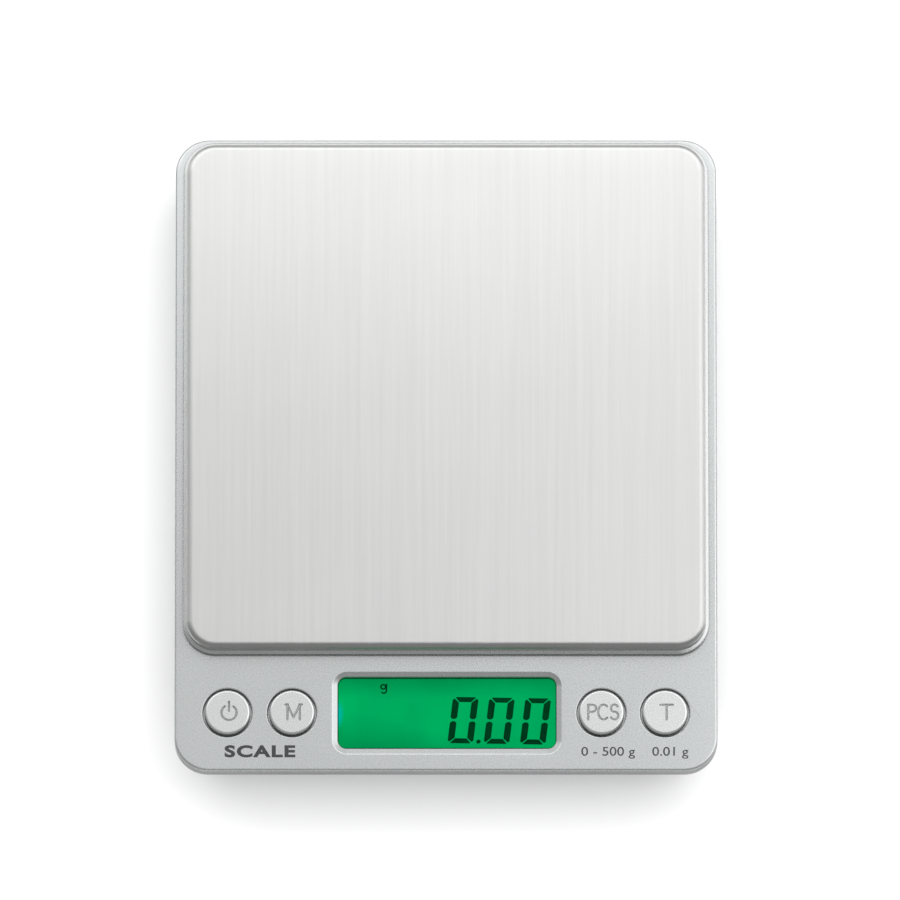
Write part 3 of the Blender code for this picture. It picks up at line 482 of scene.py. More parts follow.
def make_materials():
    return {
        "case": silver_paint("case_silver", (0.50, 0.515, 0.515)),
        "cap": silver_paint("button_silver", (0.612, 0.622, 0.622), 0.01),
        "support": silver_paint("support_silver", (0.48, 0.49, 0.49), 0.01),
        "steel": brushed_steel("pan_steel", (0.597, 0.602, 0.594)),
        "screw": plain_metal("zinc_steel", (0.52, 0.52, 0.54), 0.35),
        "alloy": plain_metal("machined_aluminium", (0.62, 0.63, 0.65), 0.35, 3.0),
        "tin": plain_metal("tinned_metal", (0.70, 0.68, 0.62), 0.3),
        "rubber": moulded("foot_rubber", (0.03, 0.03, 0.032), 0.8),
        "black": moulded("black_plastic", (0.02, 0.02, 0.021), 0.5),
        "white": moulded("white_plastic", (0.8, 0.8, 0.78), 0.45),
        "ink": moulded("printed_ink", (0.02, 0.022, 0.024), 0.5),
        "label": moulded("label_paper", (0.62, 0.63, 0.64), 0.6, 3.0, 0.004),
        "red_wire": moulded("red_insulation", (0.45, 0.02, 0.02), 0.45),
        "black_wire": moulded("black_insulation", (0.02, 0.02, 0.02), 0.45),
        "grey_wire": moulded("grey_insulation", (0.42, 0.42, 0.42), 0.5),
        "tape": moulded("foam_tape", (0.75, 0.75, 0.72), 0.9, 2.5, 0.03),
        "board": moulded("solder_mask", (0.02, 0.16, 0.07), 0.4),
        "jacket": moulded("cell_jacket", (0.10, 0.11, 0.12), 0.35),
        "segments": dark_crystal("segment_dark", (0.0, 0.034, 0.009)),
        # painted shade: a dark border round the lit display, standing in for the shade cast by the opening's
        # walls
        "border_shade": dark_crystal("painted_shade_border", (0.001, 0.055, 0.02)),
        "panel": backlit_green(),
        "window": clear_window(),
    }


def backlit_green():
    """A green backlit display: darker along its back edge and at the front left, cyan by the lamp."""
    material, tree, shader = new_material("display_green")
    low, high = box_mm("lcd_glass")
    window = centre_mm("display_window")
    lamp = (window.x - RECESS_INNER_HALF.x, centre_mm("backlight_led").y, high.z)
    at = place_coords(tree)
    split = add(tree, "ShaderNodeSeparateXYZ", {"Vector": at})
    from_lamp = combined(tree, "SUBTRACT", at, lamp, "VectorMath")
    squashed = combined(tree, "MULTIPLY", from_lamp, LAMP_SPREAD, "VectorMath")
    distance = add(tree, "ShaderNodeVectorMath", {0: squashed}, operation="LENGTH").outputs["Value"]
    glow = ranged(tree, distance, 1.0, 0.0, 0.5, 1.3)
    near = ranged(tree, distance, 1.13, 1.0, 0.8, 4.5)
    clouds = noise(tree, at, 0.12, 2.0)
    back_edge = window.y + RECESS_INNER_HALF.y
    back = ranged(tree, split.outputs["Y"], 1.0, 0.72, back_edge - BACK_SHADE_DEPTH, back_edge)
    diagonal = combined(tree, "MULTIPLY", split.outputs["X"], FRONT_SHADE_LEAN)
    corner = combined(tree, "ADD", split.outputs["Y"], diagonal)
    front_left = ranged(tree, corner, 0.7, 1.0, low.y - 1.5, low.y + 5.0)
    green = tinted(tree, BACKLIGHT, ranged(tree, clouds, 0.94, 1.06), back, front_left, near)
    mix = add(tree, "ShaderNodeMix", {"Factor": glow}, data_type="RGBA")
    tree.links.new(green, mix.inputs["A"])
    mix.inputs["B"].default_value = LAMP_COLOUR
    connect(tree, shader, {
        "Base Color": (0.0, 0.02, 0.01, 1.0),
        "Roughness": 0.35,
        "Specular IOR Level": 0.0,
        "Emission Color": mix.outputs["Result"],
        "Emission Strength": 0.95,
    })
    return material


def dark_crystal(name, glow):
    """Lit-through liquid crystal: nearly black, with a little of the backlight coming through. Also the dark
    border painted round the display as the shade of the opening's walls.
    """
    material, tree, shader = new_material(name)
    clouds = noise(tree, place_coords(tree), 0.4, 2.0)
    connect(tree, shader, {
        "Base Color": (0.0, 0.004, 0.002, 1.0),
        "Roughness": 0.5,
        "Specular IOR Level": 0.0,
        "Emission Color": tinted(tree, glow, ranged(tree, clouds, 0.8, 1.2)),
        "Emission Strength": 1.0,
    })
    return material


def clear_window():
    """Clear moulded plastic: what is behind shows, with a faint gloss on top."""
    material, tree, shader = new_material("window_clear")
    wear = noise(tree, place_coords(tree), 0.6, 3.0)
    gloss = add(tree, "ShaderNodeBsdfGlossy", {"Roughness": ranged(tree, wear, 0.04, 0.09)})
    clear = add(tree, "ShaderNodeBsdfTransparent", {"Color": (0.97, 0.99, 0.98, 1.0)})
    slant = add(tree, "ShaderNodeLayerWeight", {"Blend": 0.5}).outputs["Facing"]
    share = combined(tree, "POWER", slant, GLOSS_POWER)
    mix = add(tree, "ShaderNodeMixShader", {0: share, 1: clear.outputs[0], 2: gloss.outputs[0]})
    output = tree.nodes["Material Output"]
    tree.links.new(mix.outputs[0], output.inputs["Surface"])
    tree.nodes.remove(shader)
    return material


# ---- upper shell


def case_ring(inset, z):
    """The case's outline at height z, drawn in by inset."""
    half = CASE_HALF - Vector((inset, inset))
    return rounded_ring((0, 0), half, CASE_CORNER - CORNER_SHRINK * inset, z)


def button_passage(bm, centre):
    """A button's hole with a rounded edge. Returns its loops, down to the ceiling."""
    edge = reversed(edge_round(BUTTON_HOLE_EDGE))
    levels = [(BUTTON_HOLE_RADIUS + inset, CASE_TOP - drop) for inset, drop in edge]
    levels.append((BUTTON_HOLE_RADIUS, CASE_CEILING))
    return skin(bm, [circle(centre, radius, z, ROUND_STEPS) for radius, z in levels])


def display_passage(bm, centre):
    """The display opening: a rounded edge, a sloping rim and a short upright wall."""
    rings = []
    for share, drop in RECESS_SLOPE:
        half = RECESS_OUTER_HALF.lerp(RECESS_INNER_HALF, share)
        middle = centre + RECESS_OUTER_SHIFT.lerp(RECESS_INNER_SHIFT, share)
        corner = RECESS_OUTER_CORNER + (RECESS_INNER_CORNER - RECESS_OUTER_CORNER) * share
        rings.append(rounded_ring(middle, half, corner, CASE_TOP - drop * RECESS_DEPTH))
    middle = centre + RECESS_INNER_SHIFT
    rings.append(rounded_ring(middle, RECESS_INNER_HALF, RECESS_INNER_CORNER, CASE_CEILING))
    return skin(bm, rings)


def screw_posts(bm):
    """Posts for the case's and the board's screws. Returns their loops in the ceiling."""
    bottoms = {"case": box_mm("top_shell")[0].z, "board": box_mm("circuit_board")[1].z + GAP}
    loops = []
    for kind, (radius, pilot) in POSTS.items():
        bottom = bottoms[kind]
        for node in numbered(f"{kind}_screw", 4):
            pilot_top = box_mm(node)[1].z + POST_SPARE
            levels = ((radius, CASE_CEILING), (radius, bottom), (pilot, bottom), (pilot, pilot_top))
            post = skin(bm, [circle(centre_mm(node), width, z) for width, z in levels])
            bm.faces.new(post[-1])
            loops.append(post[0])
    return loops


def make_top_shell(material):
    """The lid with its skirt, the button holes, the display opening and the hole for the load."""
    bm = bmesh.new()
    skirt = CASE_TOP - SKIRT_DEPTH
    levels = [(CASE_WALL, CASE_CEILING), (CASE_WALL, skirt)]
    levels += [(inset, skirt + rise) for inset, rise in reversed(edge_round(SKIRT_EDGE, 3))]
    levels += [(inset, CASE_TOP - drop) for inset, drop in edge_round(CASE_TOP_EDGE)]
    loops = skin(bm, [case_ring(inset, z) for inset, z in levels])
    passages = [button_passage(bm, centre_mm(f"button_{name}").xy) for name in BUTTONS]
    passages.append(display_passage(bm, centre_mm("display_window").xy))
    load_centre = centre_mm("platform_spacer").xy
    load_half = half_mm("platform_spacer", LOAD_HOLE_MARGIN)
    heights = (CASE_TOP, CASE_CEILING)
    passages.append(skin(bm, level_rings(load_centre, load_half, LOAD_HOLE_MARGIN, heights, CORNER_STEPS)))
    posts = screw_posts(bm)
    fill(bm, loops[-1], [passage[0] for passage in passages])
    fill(bm, loops[0], [passage[-1] for passage in passages] + posts)
    place(finished("case_upper", bm, material), "case", "case_silver", "top_shell")


# ---- lower shell

WALL_FOOT = ((5.7, 1.0), (5.2, 1.03), (4.8, 1.17), (4.5, 1.45), (4.3, 2.0))
WALL_FOOT_INNER = 6.1
RIM_INSET = 0.6
RIM_HEIGHT = 11.4
RIM_EDGE = 0.2
TONGUE_INSET = 1.8
TONGUE_TOP = 12.5
INNER_INSET = 2.9
FLOOR_BOTTOM = 1.0
SCREW_HOLES = {"case": (4, 2.6, 1.3), "beam": (2, 3.2, 1.8)}
HOLE_LEAD_IN = 0.2
STOP_BORE = 1.8
PAD_MARGIN = 1.0
SEAT_MARGIN = 2.0
CELL_SPARE = 1.0
CELL_HEADROOM = 0.2
FLOOR_INSIDE = 1.6
FLOOR_TOP = 2.6
SCREW_BOSS_RADIUS = 3.5
STOP_BOSS_RADIUS = 3.2
BOSS_TOP = 4.0
HEAD_SEAT = 2.4
BAY_WALL = 1.2
BAY_LID = 0.6
LEAD_HOLE_RADIUS = 1.0
SILL_HALF_LENGTH = 29.0
SEAT_TOP = 3.8
SEAT_REAR = 57.9
SILL_FRONT = 56.0
SILL_REAR = 59.0
SILL_TOP = 6.2
DOOR_SHEET_TOP = 2.1
DOOR_LIP = 1.3
DOOR_LIP_EDGE = ((0.08, 0.12), (0.3, 0.0))
DOOR_FILLET = 0.8
GRIP_GROOVES = 6
GRIP_PITCH = 1.6
GRIP_DEPTH = 0.4
GRIP_HALF_LENGTH = 9.0
GRIP_HALF_WIDTHS = (0.35, 0.15)
GRIP_FRONT = 4.0
ARROW_TIP = 21.0
ARROW_LENGTH = 5.0
ARROW_HALF_WIDTH = 4.0
DOOR_END_EDGE = 0.15
FOOT_EDGE = 0.3
FOOT_TOP_EDGE = 0.1
FOOT_DISH = ((1.2, 0.25), (2.4, 0.2), (2.9, 0.0))
LABEL_HALF = (24.0, 13.0)
LABEL_PLACE = (0.0, -21.0)
LABEL_CORNER = 1.5
LABEL_DEPTH = 0.2
LABEL_THICKNESS = 0.1
LABEL_SINK = 0.02


def wall_inset(z):
    """How far the sloping outer wall stands in from the case outline at height z."""
    foot_inset, foot_height = WALL_FOOT[-1]
    return foot_inset + (z - foot_height) / (RIM_HEIGHT - foot_height) * (RIM_INSET - foot_inset)


def extruded_x(bm, outline, low_x, high_x, edge=0.0):
    """A solid along X from (y, z) points. Its ends draw in by edge along Y."""
    middle_y = sum(y for y, z in outline) / len(outline)
    sections = [(low_x, 0.0), (high_x, 0.0)]
    if edge:
        sections = [(low_x, edge), (low_x + edge, 0.0), (high_x - edge, 0.0), (high_x, edge)]
    solid(bm, [[(x, y - math.copysign(inset, y - middle_y), z) for y, z in outline] for x, inset in sections])


def draw_tub(bm):
    """The sloping wall with its rounded foot, the tongue that fits inside the upper shell, and the inside."""
    levels = list(WALL_FOOT)
    levels += [(wall_inset(RIM_HEIGHT - RIM_EDGE), RIM_HEIGHT - RIM_EDGE), (RIM_INSET + RIM_EDGE, RIM_HEIGHT)]
    levels += [(TONGUE_INSET, RIM_HEIGHT), (TONGUE_INSET, TONGUE_TOP - RIM_EDGE)]
    levels += [(TONGUE_INSET + RIM_EDGE, TONGUE_TOP), (INNER_INSET, TONGUE_TOP)]
    levels += [(INNER_INSET, RIM_HEIGHT - 2 * RIM_EDGE), (WALL_FOOT_INNER, FLOOR_TOP)]
    solid(bm, [case_ring(inset, z) for inset, z in levels])


def draw_bosses(bm):
    """What stands on the floor: screw bosses, the load cell's pad and stop, and the door's seat."""
    for screw in numbered("case_screw", 4):
        turned_at(bm, screw, ((SCREW_BOSS_RADIUS, FLOOR_INSIDE), (SCREW_BOSS_RADIUS, BOSS_TOP)))
    low, high = box_mm("beam_base_spacer")
    pad_top = low.z - GAP
    corner = (low.x - PAD_MARGIN, low.y - PAD_MARGIN, FLOOR_INSIDE)
    block(bm, corner, (high.x + GAP, high.y + PAD_MARGIN, pad_top))
    turned_at(bm, "overload_stop_screw", ((STOP_BOSS_RADIUS, FLOOR_INSIDE), (STOP_BOSS_RADIUS, pad_top)))
    seat_front = box_mm("battery_door")[0].y - SEAT_MARGIN
    block(bm, (-SILL_HALF_LENGTH, seat_front, FLOOR_INSIDE), (SILL_HALF_LENGTH, SEAT_REAR, SEAT_TOP))


def bay_box():
    """Inside of the battery bay, in millimetres: low and high corners."""
    low, high = box_mm("contact_link")
    half_x = max(-low.x, high.x) + GAP
    cells = [box_mm(cell)[1] for cell in numbered("battery", 2)]
    rear = max(high.y, *(cell.y + CELL_SPARE for cell in cells))
    top = max(high.z, *(cell.z + CELL_HEADROOM for cell in cells))
    front = box_mm("battery_door")[0].y + SEAT_MARGIN
    return Vector((-half_x, front, -OVERCUT)), Vector((half_x, rear, top))


def draw_bay(bm):
    """The box round the cells, and the wall that the door's turned-up edge closes against."""
    low, high = bay_box()
    block(bm, (-SILL_HALF_LENGTH, SILL_FRONT, SEAT_TOP - GAP), (SILL_HALF_LENGTH, SILL_REAR, SILL_TOP))
    outer_high = (high.x + BAY_WALL, high.y + BAY_WALL, high.z + BAY_LID)
    block(bm, (low.x - BAY_WALL, low.y - BAY_WALL, SEAT_TOP - 2 * GAP), outer_high)


def draw_openings(bm):
    """The battery bay, the screw holes from below, the foot pockets and the label's shallow bed."""
    block(bm, *bay_box())
    for kind, (count, head, shank) in SCREW_HOLES.items():
        mouth = head + HOLE_LEAD_IN
        profile = ((mouth, -OVERCUT), (mouth, FLOOR_BOTTOM), (head, FLOOR_BOTTOM + HOLE_LEAD_IN))
        profile += ((head, HEAD_SEAT), (shank, HEAD_SEAT), (shank, BOSS_TOP + OVERCUT))
        for screw in numbered(f"{kind}_screw", count):
            turned_at(bm, screw, profile)
    turned_at(bm, "overload_stop_screw", ((STOP_BORE, -OVERCUT), (STOP_BORE, BOSS_TOP + OVERCUT)))
    for foot in numbered("rubber_foot", 4):
        radius = half_mm(foot, GAP).x
        turned_at(bm, foot, ((radius, -OVERCUT), (radius, FLOOR_INSIDE)), ROUND_STEPS)
    heights = (-OVERCUT, FLOOR_BOTTOM + LABEL_DEPTH)
    solid(bm, level_rings(LABEL_PLACE, LABEL_HALF, LABEL_CORNER, heights))


def draw_lead_holes(bm):
    """Holes through the bay's right wall, level with each cell, for the leads."""
    wall = bay_box()[1].x
    for cell in numbered("battery", 2):
        outline = [point[:2] for point in circle(centre_mm(cell).yz, LEAD_HOLE_RADIUS, 0)]
        extruded_x(bm, outline, wall - OVERCUT, wall + BAY_WALL + OVERCUT)


def door_outline(spare):
    """The door's section as (y, z) points. The recess is the same section, larger by spare."""
    low, high = box_mm("battery_door")
    back = CASE_HALF.y - wall_inset(high.z)
    flat_top = DOOR_SHEET_TOP + spare
    if spare:
        rear = [(CASE_HALF.y, -OVERCUT), (CASE_HALF.y, high.z + spare)]
    else:
        rear = [(CASE_HALF.y - inset, z) for inset, z in WALL_FOOT]
        rear += [(back - inset, high.z - drop) for inset, drop in DOOR_LIP_EDGE]
    front = low.y - spare
    foot = -OVERCUT if spare else low.z
    inner = back - DOOR_LIP - spare
    fillet = inner - DOOR_FILLET
    return [(front, foot), *rear, (inner, high.z + spare), (fillet, flat_top), (front, flat_top)]


def draw_door_recess(bm):
    """The step that the door slides out of, open to the rear."""
    low, high = box_mm("battery_door")
    extruded_x(bm, door_outline(GAP), low.x - GAP, high.x + GAP)


def make_base(material):
    base = drawn("case_lower", draw_tub, material)
    carve(base, [
        ("UNION", draw_bosses),
        ("UNION", draw_bay),
        ("DIFFERENCE", draw_openings),
        ("DIFFERENCE", draw_lead_holes),
        ("DIFFERENCE", draw_door_recess),
    ])
    place(base, "case", "case_silver", "base_shell")


def draw_door_grip(bm):
    """Cutters for the finger grooves, and for the arrow that shows which way the door slides."""
    low = box_mm("battery_door")[0]
    wide, narrow = GRIP_HALF_WIDTHS
    levels = ((wide, low.z - OVERCUT), (wide, low.z), (narrow, low.z + GRIP_DEPTH))
    for number in range(GRIP_GROOVES):
        middle = (0, low.y + GRIP_FRONT + GRIP_PITCH * number)
        solid(bm, [rounded_ring(middle, (GRIP_HALF_LENGTH + r, r), r * 0.9, z, 6) for r, z in levels])
    tip = low.y + ARROW_TIP
    base = tip - ARROW_LENGTH
    arrow = [(-ARROW_HALF_WIDTH, base), (ARROW_HALF_WIDTH, base), (0.0, tip)]
    add_flat(bm, arrow, low.z - OVERCUT, GRIP_DEPTH + OVERCUT)


def make_door(material):
    low, high = box_mm("battery_door")
    outline = door_outline(0.0)
    door = drawn("cell_door", lambda bm: extruded_x(bm, outline, low.x, high.x, DOOR_END_EDGE), material)
    carve(door, [("DIFFERENCE", draw_door_grip)])
    place(door, "battery_door", "case_silver", "battery_door")


def make_feet(material):
    """Round rubber pads with a soft edge and a shallow dish."""
    for node in numbered("rubber_foot", 4):
        low, high = box_mm(node)
        radius = half_mm(node).x
        profile = [(dish_radius, low.z + rise) for dish_radius, rise in FOOT_DISH]
        profile += [(radius - inset, low.z + rise) for inset, rise in reversed(edge_round(FOOT_EDGE))]
        profile += [(radius, high.z - FOOT_TOP_EDGE), (radius - FOOT_TOP_EDGE, high.z)]
        name = node.removeprefix("rubber_")
        foot = drawn(name, lambda bm: turned_at(bm, node, profile, ROUND_STEPS), material)
        place(foot, "case", "foot_rubber", node)


SCREW_SHANKS = {"case_screw": (4, 1.0), "beam_screw": (2, 1.5)}
SCREW_DOME = ((0.35, 0.0), (0.65, 0.08), (0.88, 0.25), (1.0, 0.5))
SCREW_HEAD_TOP = 2.1
THREAD_PITCH = 0.6
THREAD_DEPTH = 0.18
CROSS_REACH = 0.3
CROSS_WIDTH = 0.25
CROSS_DEPTH = 0.7


def screw_profile(node, shank):
    """Domed head below, then a threaded shank up to a blunt point, as (radius, height) points."""
    low, high = box_mm(node)
    radius = half_mm(node).x
    profile = [(radius * share, low.z + rise) for share, rise in SCREW_DOME]
    profile += [(radius, SCREW_HEAD_TOP), (shank, SCREW_HEAD_TOP)]
    z = SCREW_HEAD_TOP + THREAD_PITCH
    while z < high.z - 2 * THREAD_PITCH:
        profile += [(shank - THREAD_DEPTH, z), (shank, z + THREAD_PITCH / 2)]
        z += THREAD_PITCH
    return profile + [(shank - THREAD_DEPTH, high.z - THREAD_PITCH), (shank / 3, high.z)]


def make_screws(material):
    """Case and load cell screws from below: domed heads with a cross recess."""
    for stem, (count, shank) in SCREW_SHANKS.items():
        for node in numbered(stem, count):
            profile = screw_profile(node, shank)
            screw = drawn(f"{node}_head", lambda bm: turned_at(bm, node, profile), material)
            middle = centre_mm(node).xy
            recess_top = box_mm(node)[0].z + CROSS_DEPTH
            arm = 2 * CROSS_REACH * half_mm(node).x
            cuts = []
            for reach in (Vector((arm, CROSS_WIDTH)), Vector((CROSS_WIDTH, arm))):
                corners = ((*middle - reach, -OVERCUT), (*middle + reach, recess_top))
                cuts.append(("DIFFERENCE", lambda bm, c=corners: block(bm, *c)))
            place(carve(screw, cuts), "case", "fastener_steel", node)


def make_label(material):
    """A blank label in its bed under the case."""
    half = (LABEL_HALF[0] - GAP, LABEL_HALF[1] - GAP)
    top = FLOOR_BOTTOM + LABEL_DEPTH - LABEL_SINK
    rings = level_rings(LABEL_PLACE, half, LABEL_CORNER - GAP, (top - LABEL_THICKNESS, top))
    label = drawn("blank_label", lambda bm: solid(bm, rings), material)
    place(label, "case", "white_plastic")


# ---- load cell

BORE_PLACE = 5.0
BORE_RADIUS = 2.1
SLOT_HALF = 0.7
BEAM_HOLES = (-20.0, -13.2, 13.2, 20.0)
BEAM_HOLE_RADIUS = 1.8
BEAM_EDGE = 0.3
COAT_EDGE = 0.1
BEND_HALF = 8.0
BEND_STEPS = 16


def bent_by_load(obj, node):
    """Stands for a load cell node, with its placing baked into its mesh."""
    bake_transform(obj)
    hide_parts(node)


def bar_rings(node, edge):
    """Sections along X of a bar with softened long edges, close together where the bar bends."""
    low, high = box_mm(node)
    centre = (low + high) / 2
    half = (high - low) / 2
    bends = [-BEND_HALF + 2 * BEND_HALF * step / BEND_STEPS for step in range(BEND_STEPS + 1)]
    stations = [(low.x, edge), (low.x + edge, 0.0)]
    stations += [(x, 0.0) for x in bends if low.x + edge < x < high.x - edge]
    stations += [(high.x - edge, 0.0), (high.x, edge)]
    rings = []
    for x, inset in stations:
        outline = rounded_ring(centre.yz, (half.y - inset, half.z - inset), edge, 0, 2)
        rings.append([(x, y, z) for y, z, _ in outline])
    return rings


def draw_beam_slot(bm):
    """Two bores across the beam with a slot between them, which leave thin webs to bend."""
    low, high = box_mm("load_cell_beam")
    entry = math.asin(SLOT_HALF / BORE_RADIUS)
    outline = []
    for side in (1, -1):
        for step in range(CORNER_STEPS + 1):
            angle = entry - math.pi + (2 * math.pi - 2 * entry) * step / CORNER_STEPS
            x = side * (BORE_PLACE + BORE_RADIUS * math.cos(angle))
            outline.append((x, (low.z + high.z) / 2 + side * BORE_RADIUS * math.sin(angle)))
    solid(bm, [[(x, y, z) for x, z in outline] for y in (low.y - OVERCUT, high.y + OVERCUT)])


def draw_beam_holes(bm):
    low, high = box_mm("load_cell_beam")
    profile = ((BEAM_HOLE_RADIUS, low.z - OVERCUT), (BEAM_HOLE_RADIUS, high.z + OVERCUT))
    for x in BEAM_HOLES:
        turned(bm, profile, (x, centre_mm("load_cell_beam").y), SMALL_STEPS)


def make_load_cell(alloy, coating):
    rings = bar_rings("load_cell_beam", BEAM_EDGE)
    beam = drawn("strain_beam", lambda bm: solid(bm, rings), alloy)
    carve(beam, [("DIFFERENCE", draw_beam_slot), ("DIFFERENCE", draw_beam_holes)])
    bent_by_load(beam, "load_cell_beam")
    for side in ("upper", "lower"):
        node = f"gauge_coat_{side}"
        coat = drawn(f"gauge_film_{side}", lambda bm, n=node: solid(bm, bar_rings(n, COAT_EDGE)), coating)
        bent_by_load(coat, node)


# ---- platform


def inset_ring(node, corner, inset, z):
    """The outline of a node at height z, drawn in by inset."""
    return rounded_ring(centre_mm(node).xy, half_mm(node, -inset), corner - inset, z)


def make_pan(material):
    low, high = box_mm("steel_pan")
    inner = PAN_EDGE - PAN_SHEET
    levels = [
        (PAN_SHEET + inner, high.z - PAN_SHEET),
        (PAN_SHEET, high.z - PAN_SHEET - inner),
        (PAN_SHEET, low.z),
        (PAN_FOOT_EDGE, low.z),
        (0.0, low.z + PAN_FOOT_EDGE),
    ]
    levels += [(inset, high.z - drop) for inset, drop in edge_round(PAN_EDGE, 8)]
    bm = bmesh.new()
    loops = skin(bm, [inset_ring("steel_pan", PAN_CORNER, inset, z) for inset, z in levels])
    fill(bm, loops[0])
    fill(bm, loops[-1])
    place(finished("weighing_pan", bm, material), "platform", "pan_steel", "steel_pan")


def make_support(material):
    """The plate under the pan with its lip, a hollow below and a thick pad for the load cell."""
    low, high = box_mm("platform_support")
    lip_top = low.z + LIP_HEIGHT
    under = high.z - SUPPORT_PLATE
    levels = [(SUPPORT_HOLLOW, under)]
    levels += [(inset, low.z + rise) for inset, rise in SUPPORT_FOOT + edge_round(LIP_EDGE, 4)[::-1]]
    levels += [(inset, lip_top - LIP_FALL - drop) for inset, drop in edge_round(LIP_EDGE, 4)]
    levels += [(inset, lip_top + rise) for inset, rise in LIP_STEP]
    levels += [(inset, high.z - drop) for inset, drop in SUPPORT_RIM]
    bm = bmesh.new()
    loops = skin(bm, [inset_ring("platform_support", SUPPORT_CORNER, inset, z) for inset, z in levels])
    pad_half = half_mm("platform_spacer") + Vector((0.0, 2 * GAP))
    pad_centre = centre_mm("platform_spacer").xy
    pad = skin(bm, level_rings(pad_centre, pad_half, PAD_CORNER, (under, low.z), 4))
    bed_centre = centre_mm("pan_tape").xy
    bed_half = half_mm("pan_tape", GAP)
    bed = skin(bm, level_rings(bed_centre, bed_half, TAPE_CORNER, (high.z, high.z - TAPE_BED)))
    bm.faces.new(bed[1])
    seat = high.z - SEAT_DEPTH
    bore_levels = ((SEAT_RADIUS, high.z), (SEAT_RADIUS, seat), (SEAT_BORE, seat), (SEAT_BORE, low.z))
    bores = []
    for screw in numbered("platform_screw", 2):
        bores.append(skin(bm, [circle(centre_mm(screw), radius, z) for radius, z in bore_levels]))
    fill(bm, loops[-1], [bed[0], *(bore[0] for bore in bores)])
    fill(bm, loops[0], [pad[0]])
    fill(bm, pad[1], [bore[-1] for bore in bores])
    place(finished("pan_support", bm, material), "platform", "platform_silver", "platform_support")


# ---- buttons


def round_end(centre, arm, steps):
    """Half a turn clockwise about a line's end, starting from the arm."""
    arc = []
    for step in range(1, steps):
        cos, sin = math.cos(math.pi * step / steps), math.sin(math.pi * step / steps)
        arc.append(centre + Vector((arm.x * cos + arm.y * sin, arm.y * cos - arm.x * sin)))
    return arc


def stroke_outline(path, half_width, z, steps=6):
    """The outline of a thick line with round ends along a smooth path of (x, y) points."""
    points = [Vector(p) for p in path]
    left, right = [], []
    for i, point in enumerate(points):
        before = points[max(i - 1, 0)]
        after = points[min(i + 1, len(points) - 1)]
        along = (after - before).normalized()
        across = Vector((-along.y, along.x)) * half_width
        left.append(point + across)
        right.append(point - across)
    far_end = round_end(points[-1], left[-1] - points[-1], steps)
    near_end = round_end(points[0], right[0] - points[0], steps)
    return [(p.x, p.y, z) for p in left + far_end + right[::-1] + near_end]


def draw_groove(path, top):
    """A cutter for a sunk line with sloping sides."""

    def draw(bm):
        half = LEGEND_STROKE / 2
        levels = ((half, top + OVERCUT), (half, top), (LEGEND_FOOT, top - LEGEND_DEPTH))
        solid(bm, [stroke_outline(path, width, z) for width, z in levels])

    return draw


def legend_strokes():
    """Each button's sunk legend, as lines round its centre."""
    p_bowl = arc_path((-2.05, 0.76), 0.7, 80, -80, 8)
    s_upper = arc_path((2.22, 0.76), 0.70, 30, 270, 12, 1.05)
    s_lower = arc_path((2.22, -0.70), 0.74, 90, -150, 12, 1.05)
    return {
        "power": [
            arc_path((0, -0.1), 1.48, 125, 415, 26),
            [(0, 0.2), (0, 2.05)],
        ],
        "mode": [
            [(-1.2, -1.5), (-1.2, 1.42)],
            [(-1.6, 1.5), (-1.15, 1.5)],
            [(-1.2, 1.42), (0.0, -1.1)],
            [(0.0, -1.1), (1.2, 1.42)],
            [(1.15, 1.5), (1.6, 1.5)],
            [(1.2, 1.42), (1.2, -1.5)],
        ],
        "pieces": [
            [(-2.9, -1.5), (-2.9, 1.45)],
            [(-2.9, 1.45), (-2.15, 1.45), *p_bowl, (-2.15, 0.05), (-2.9, 0.05)],
            arc_path((0.1, 0.0), 1.05, 50, 310, 18, 1.42),
            s_upper + s_lower,
        ],
        "tare": [
            [(-1.2, 1.45), (1.2, 1.45)],
            [(0, 1.45), (0, -1.5)],
        ],
    }


def make_buttons(material):
    for name, strokes in legend_strokes().items():
        node = f"button_{name}"
        low, high = box_mm(node)
        centre = centre_mm(node)
        flange_radius = half_mm(node).x
        flange_top = CASE_CEILING - GAP
        flange_bottom = flange_top - FLANGE_THICKNESS
        profile = [
            (STUB_RADIUS, low.z),
            (STUB_RADIUS, flange_bottom),
            (flange_radius - FLANGE_EDGE, flange_bottom),
            (flange_radius, flange_bottom + FLANGE_EDGE),
            (flange_radius, flange_top),
            (CAP_RADIUS, flange_top),
        ]
        profile += [(CAP_RADIUS - inset, high.z - drop) for inset, drop in edge_round(CAP_EDGE, 6)]
        cap = drawn(f"cap_{name}", lambda bm: turned_at(bm, node, profile, ROUND_STEPS), material)
        grooves = []
        for path in strokes:
            moved = [(x + centre.x + LEGEND_SHIFT, y + centre.y) for x, y in path]
            grooves.append(("DIFFERENCE", draw_groove(moved, high.z)))
        place(carve(cap, grooves), node, "button_silver", node)


# ---- display

DIGIT_SLANT = 0.105
DIGIT_HEIGHT = 9.27
DIGIT_WIDTH = 5.03
DIGIT_PITCH = 7.07
UPRIGHT_WIDTH = 1.3
BAR_HEIGHT = 1.0
SEGMENT_GAP = 0.2
SEGMENT_THICKNESS = 0.05
LAST_DIGIT_INSET = 7.15
DIGIT_RISE = 1.62
CELL_TURN = math.radians(-0.95)
# A dark border painted round the lit cell: painted shade where the walls of the display opening shade it
SHADE_BORDER_HALF = Vector((21.2, 6.91))
SHADE_BORDER_SHIFT = Vector((0.0, 0.65))
SHADE_BORDER_CORNER = 1.35
SHADE_BORDER_WIDTH = 1.2
DOT_PLACE = DIGIT_WIDTH + 1.0
DOT_HALF = (0.42, 0.4)
DOT_CORNER = 0.36
UNIT_PLACE = Vector((-12.45, 6.0))
UNIT_BOWL = 0.62
UNIT_STROKE = 0.32
UNIT_STEM_RISE = 0.5
UNIT_STEM_HALF = 0.15
UNIT_HOOK_DROP = 0.75
UNIT_HOOK_RADIUS = 0.52
CELL_FACE_DEPTH = 0.07
CELL_LEDGE = 2.2
CELL_SEAM = 0.01
PANE_EDGE = 0.1
PANE_CORNER = 1.5


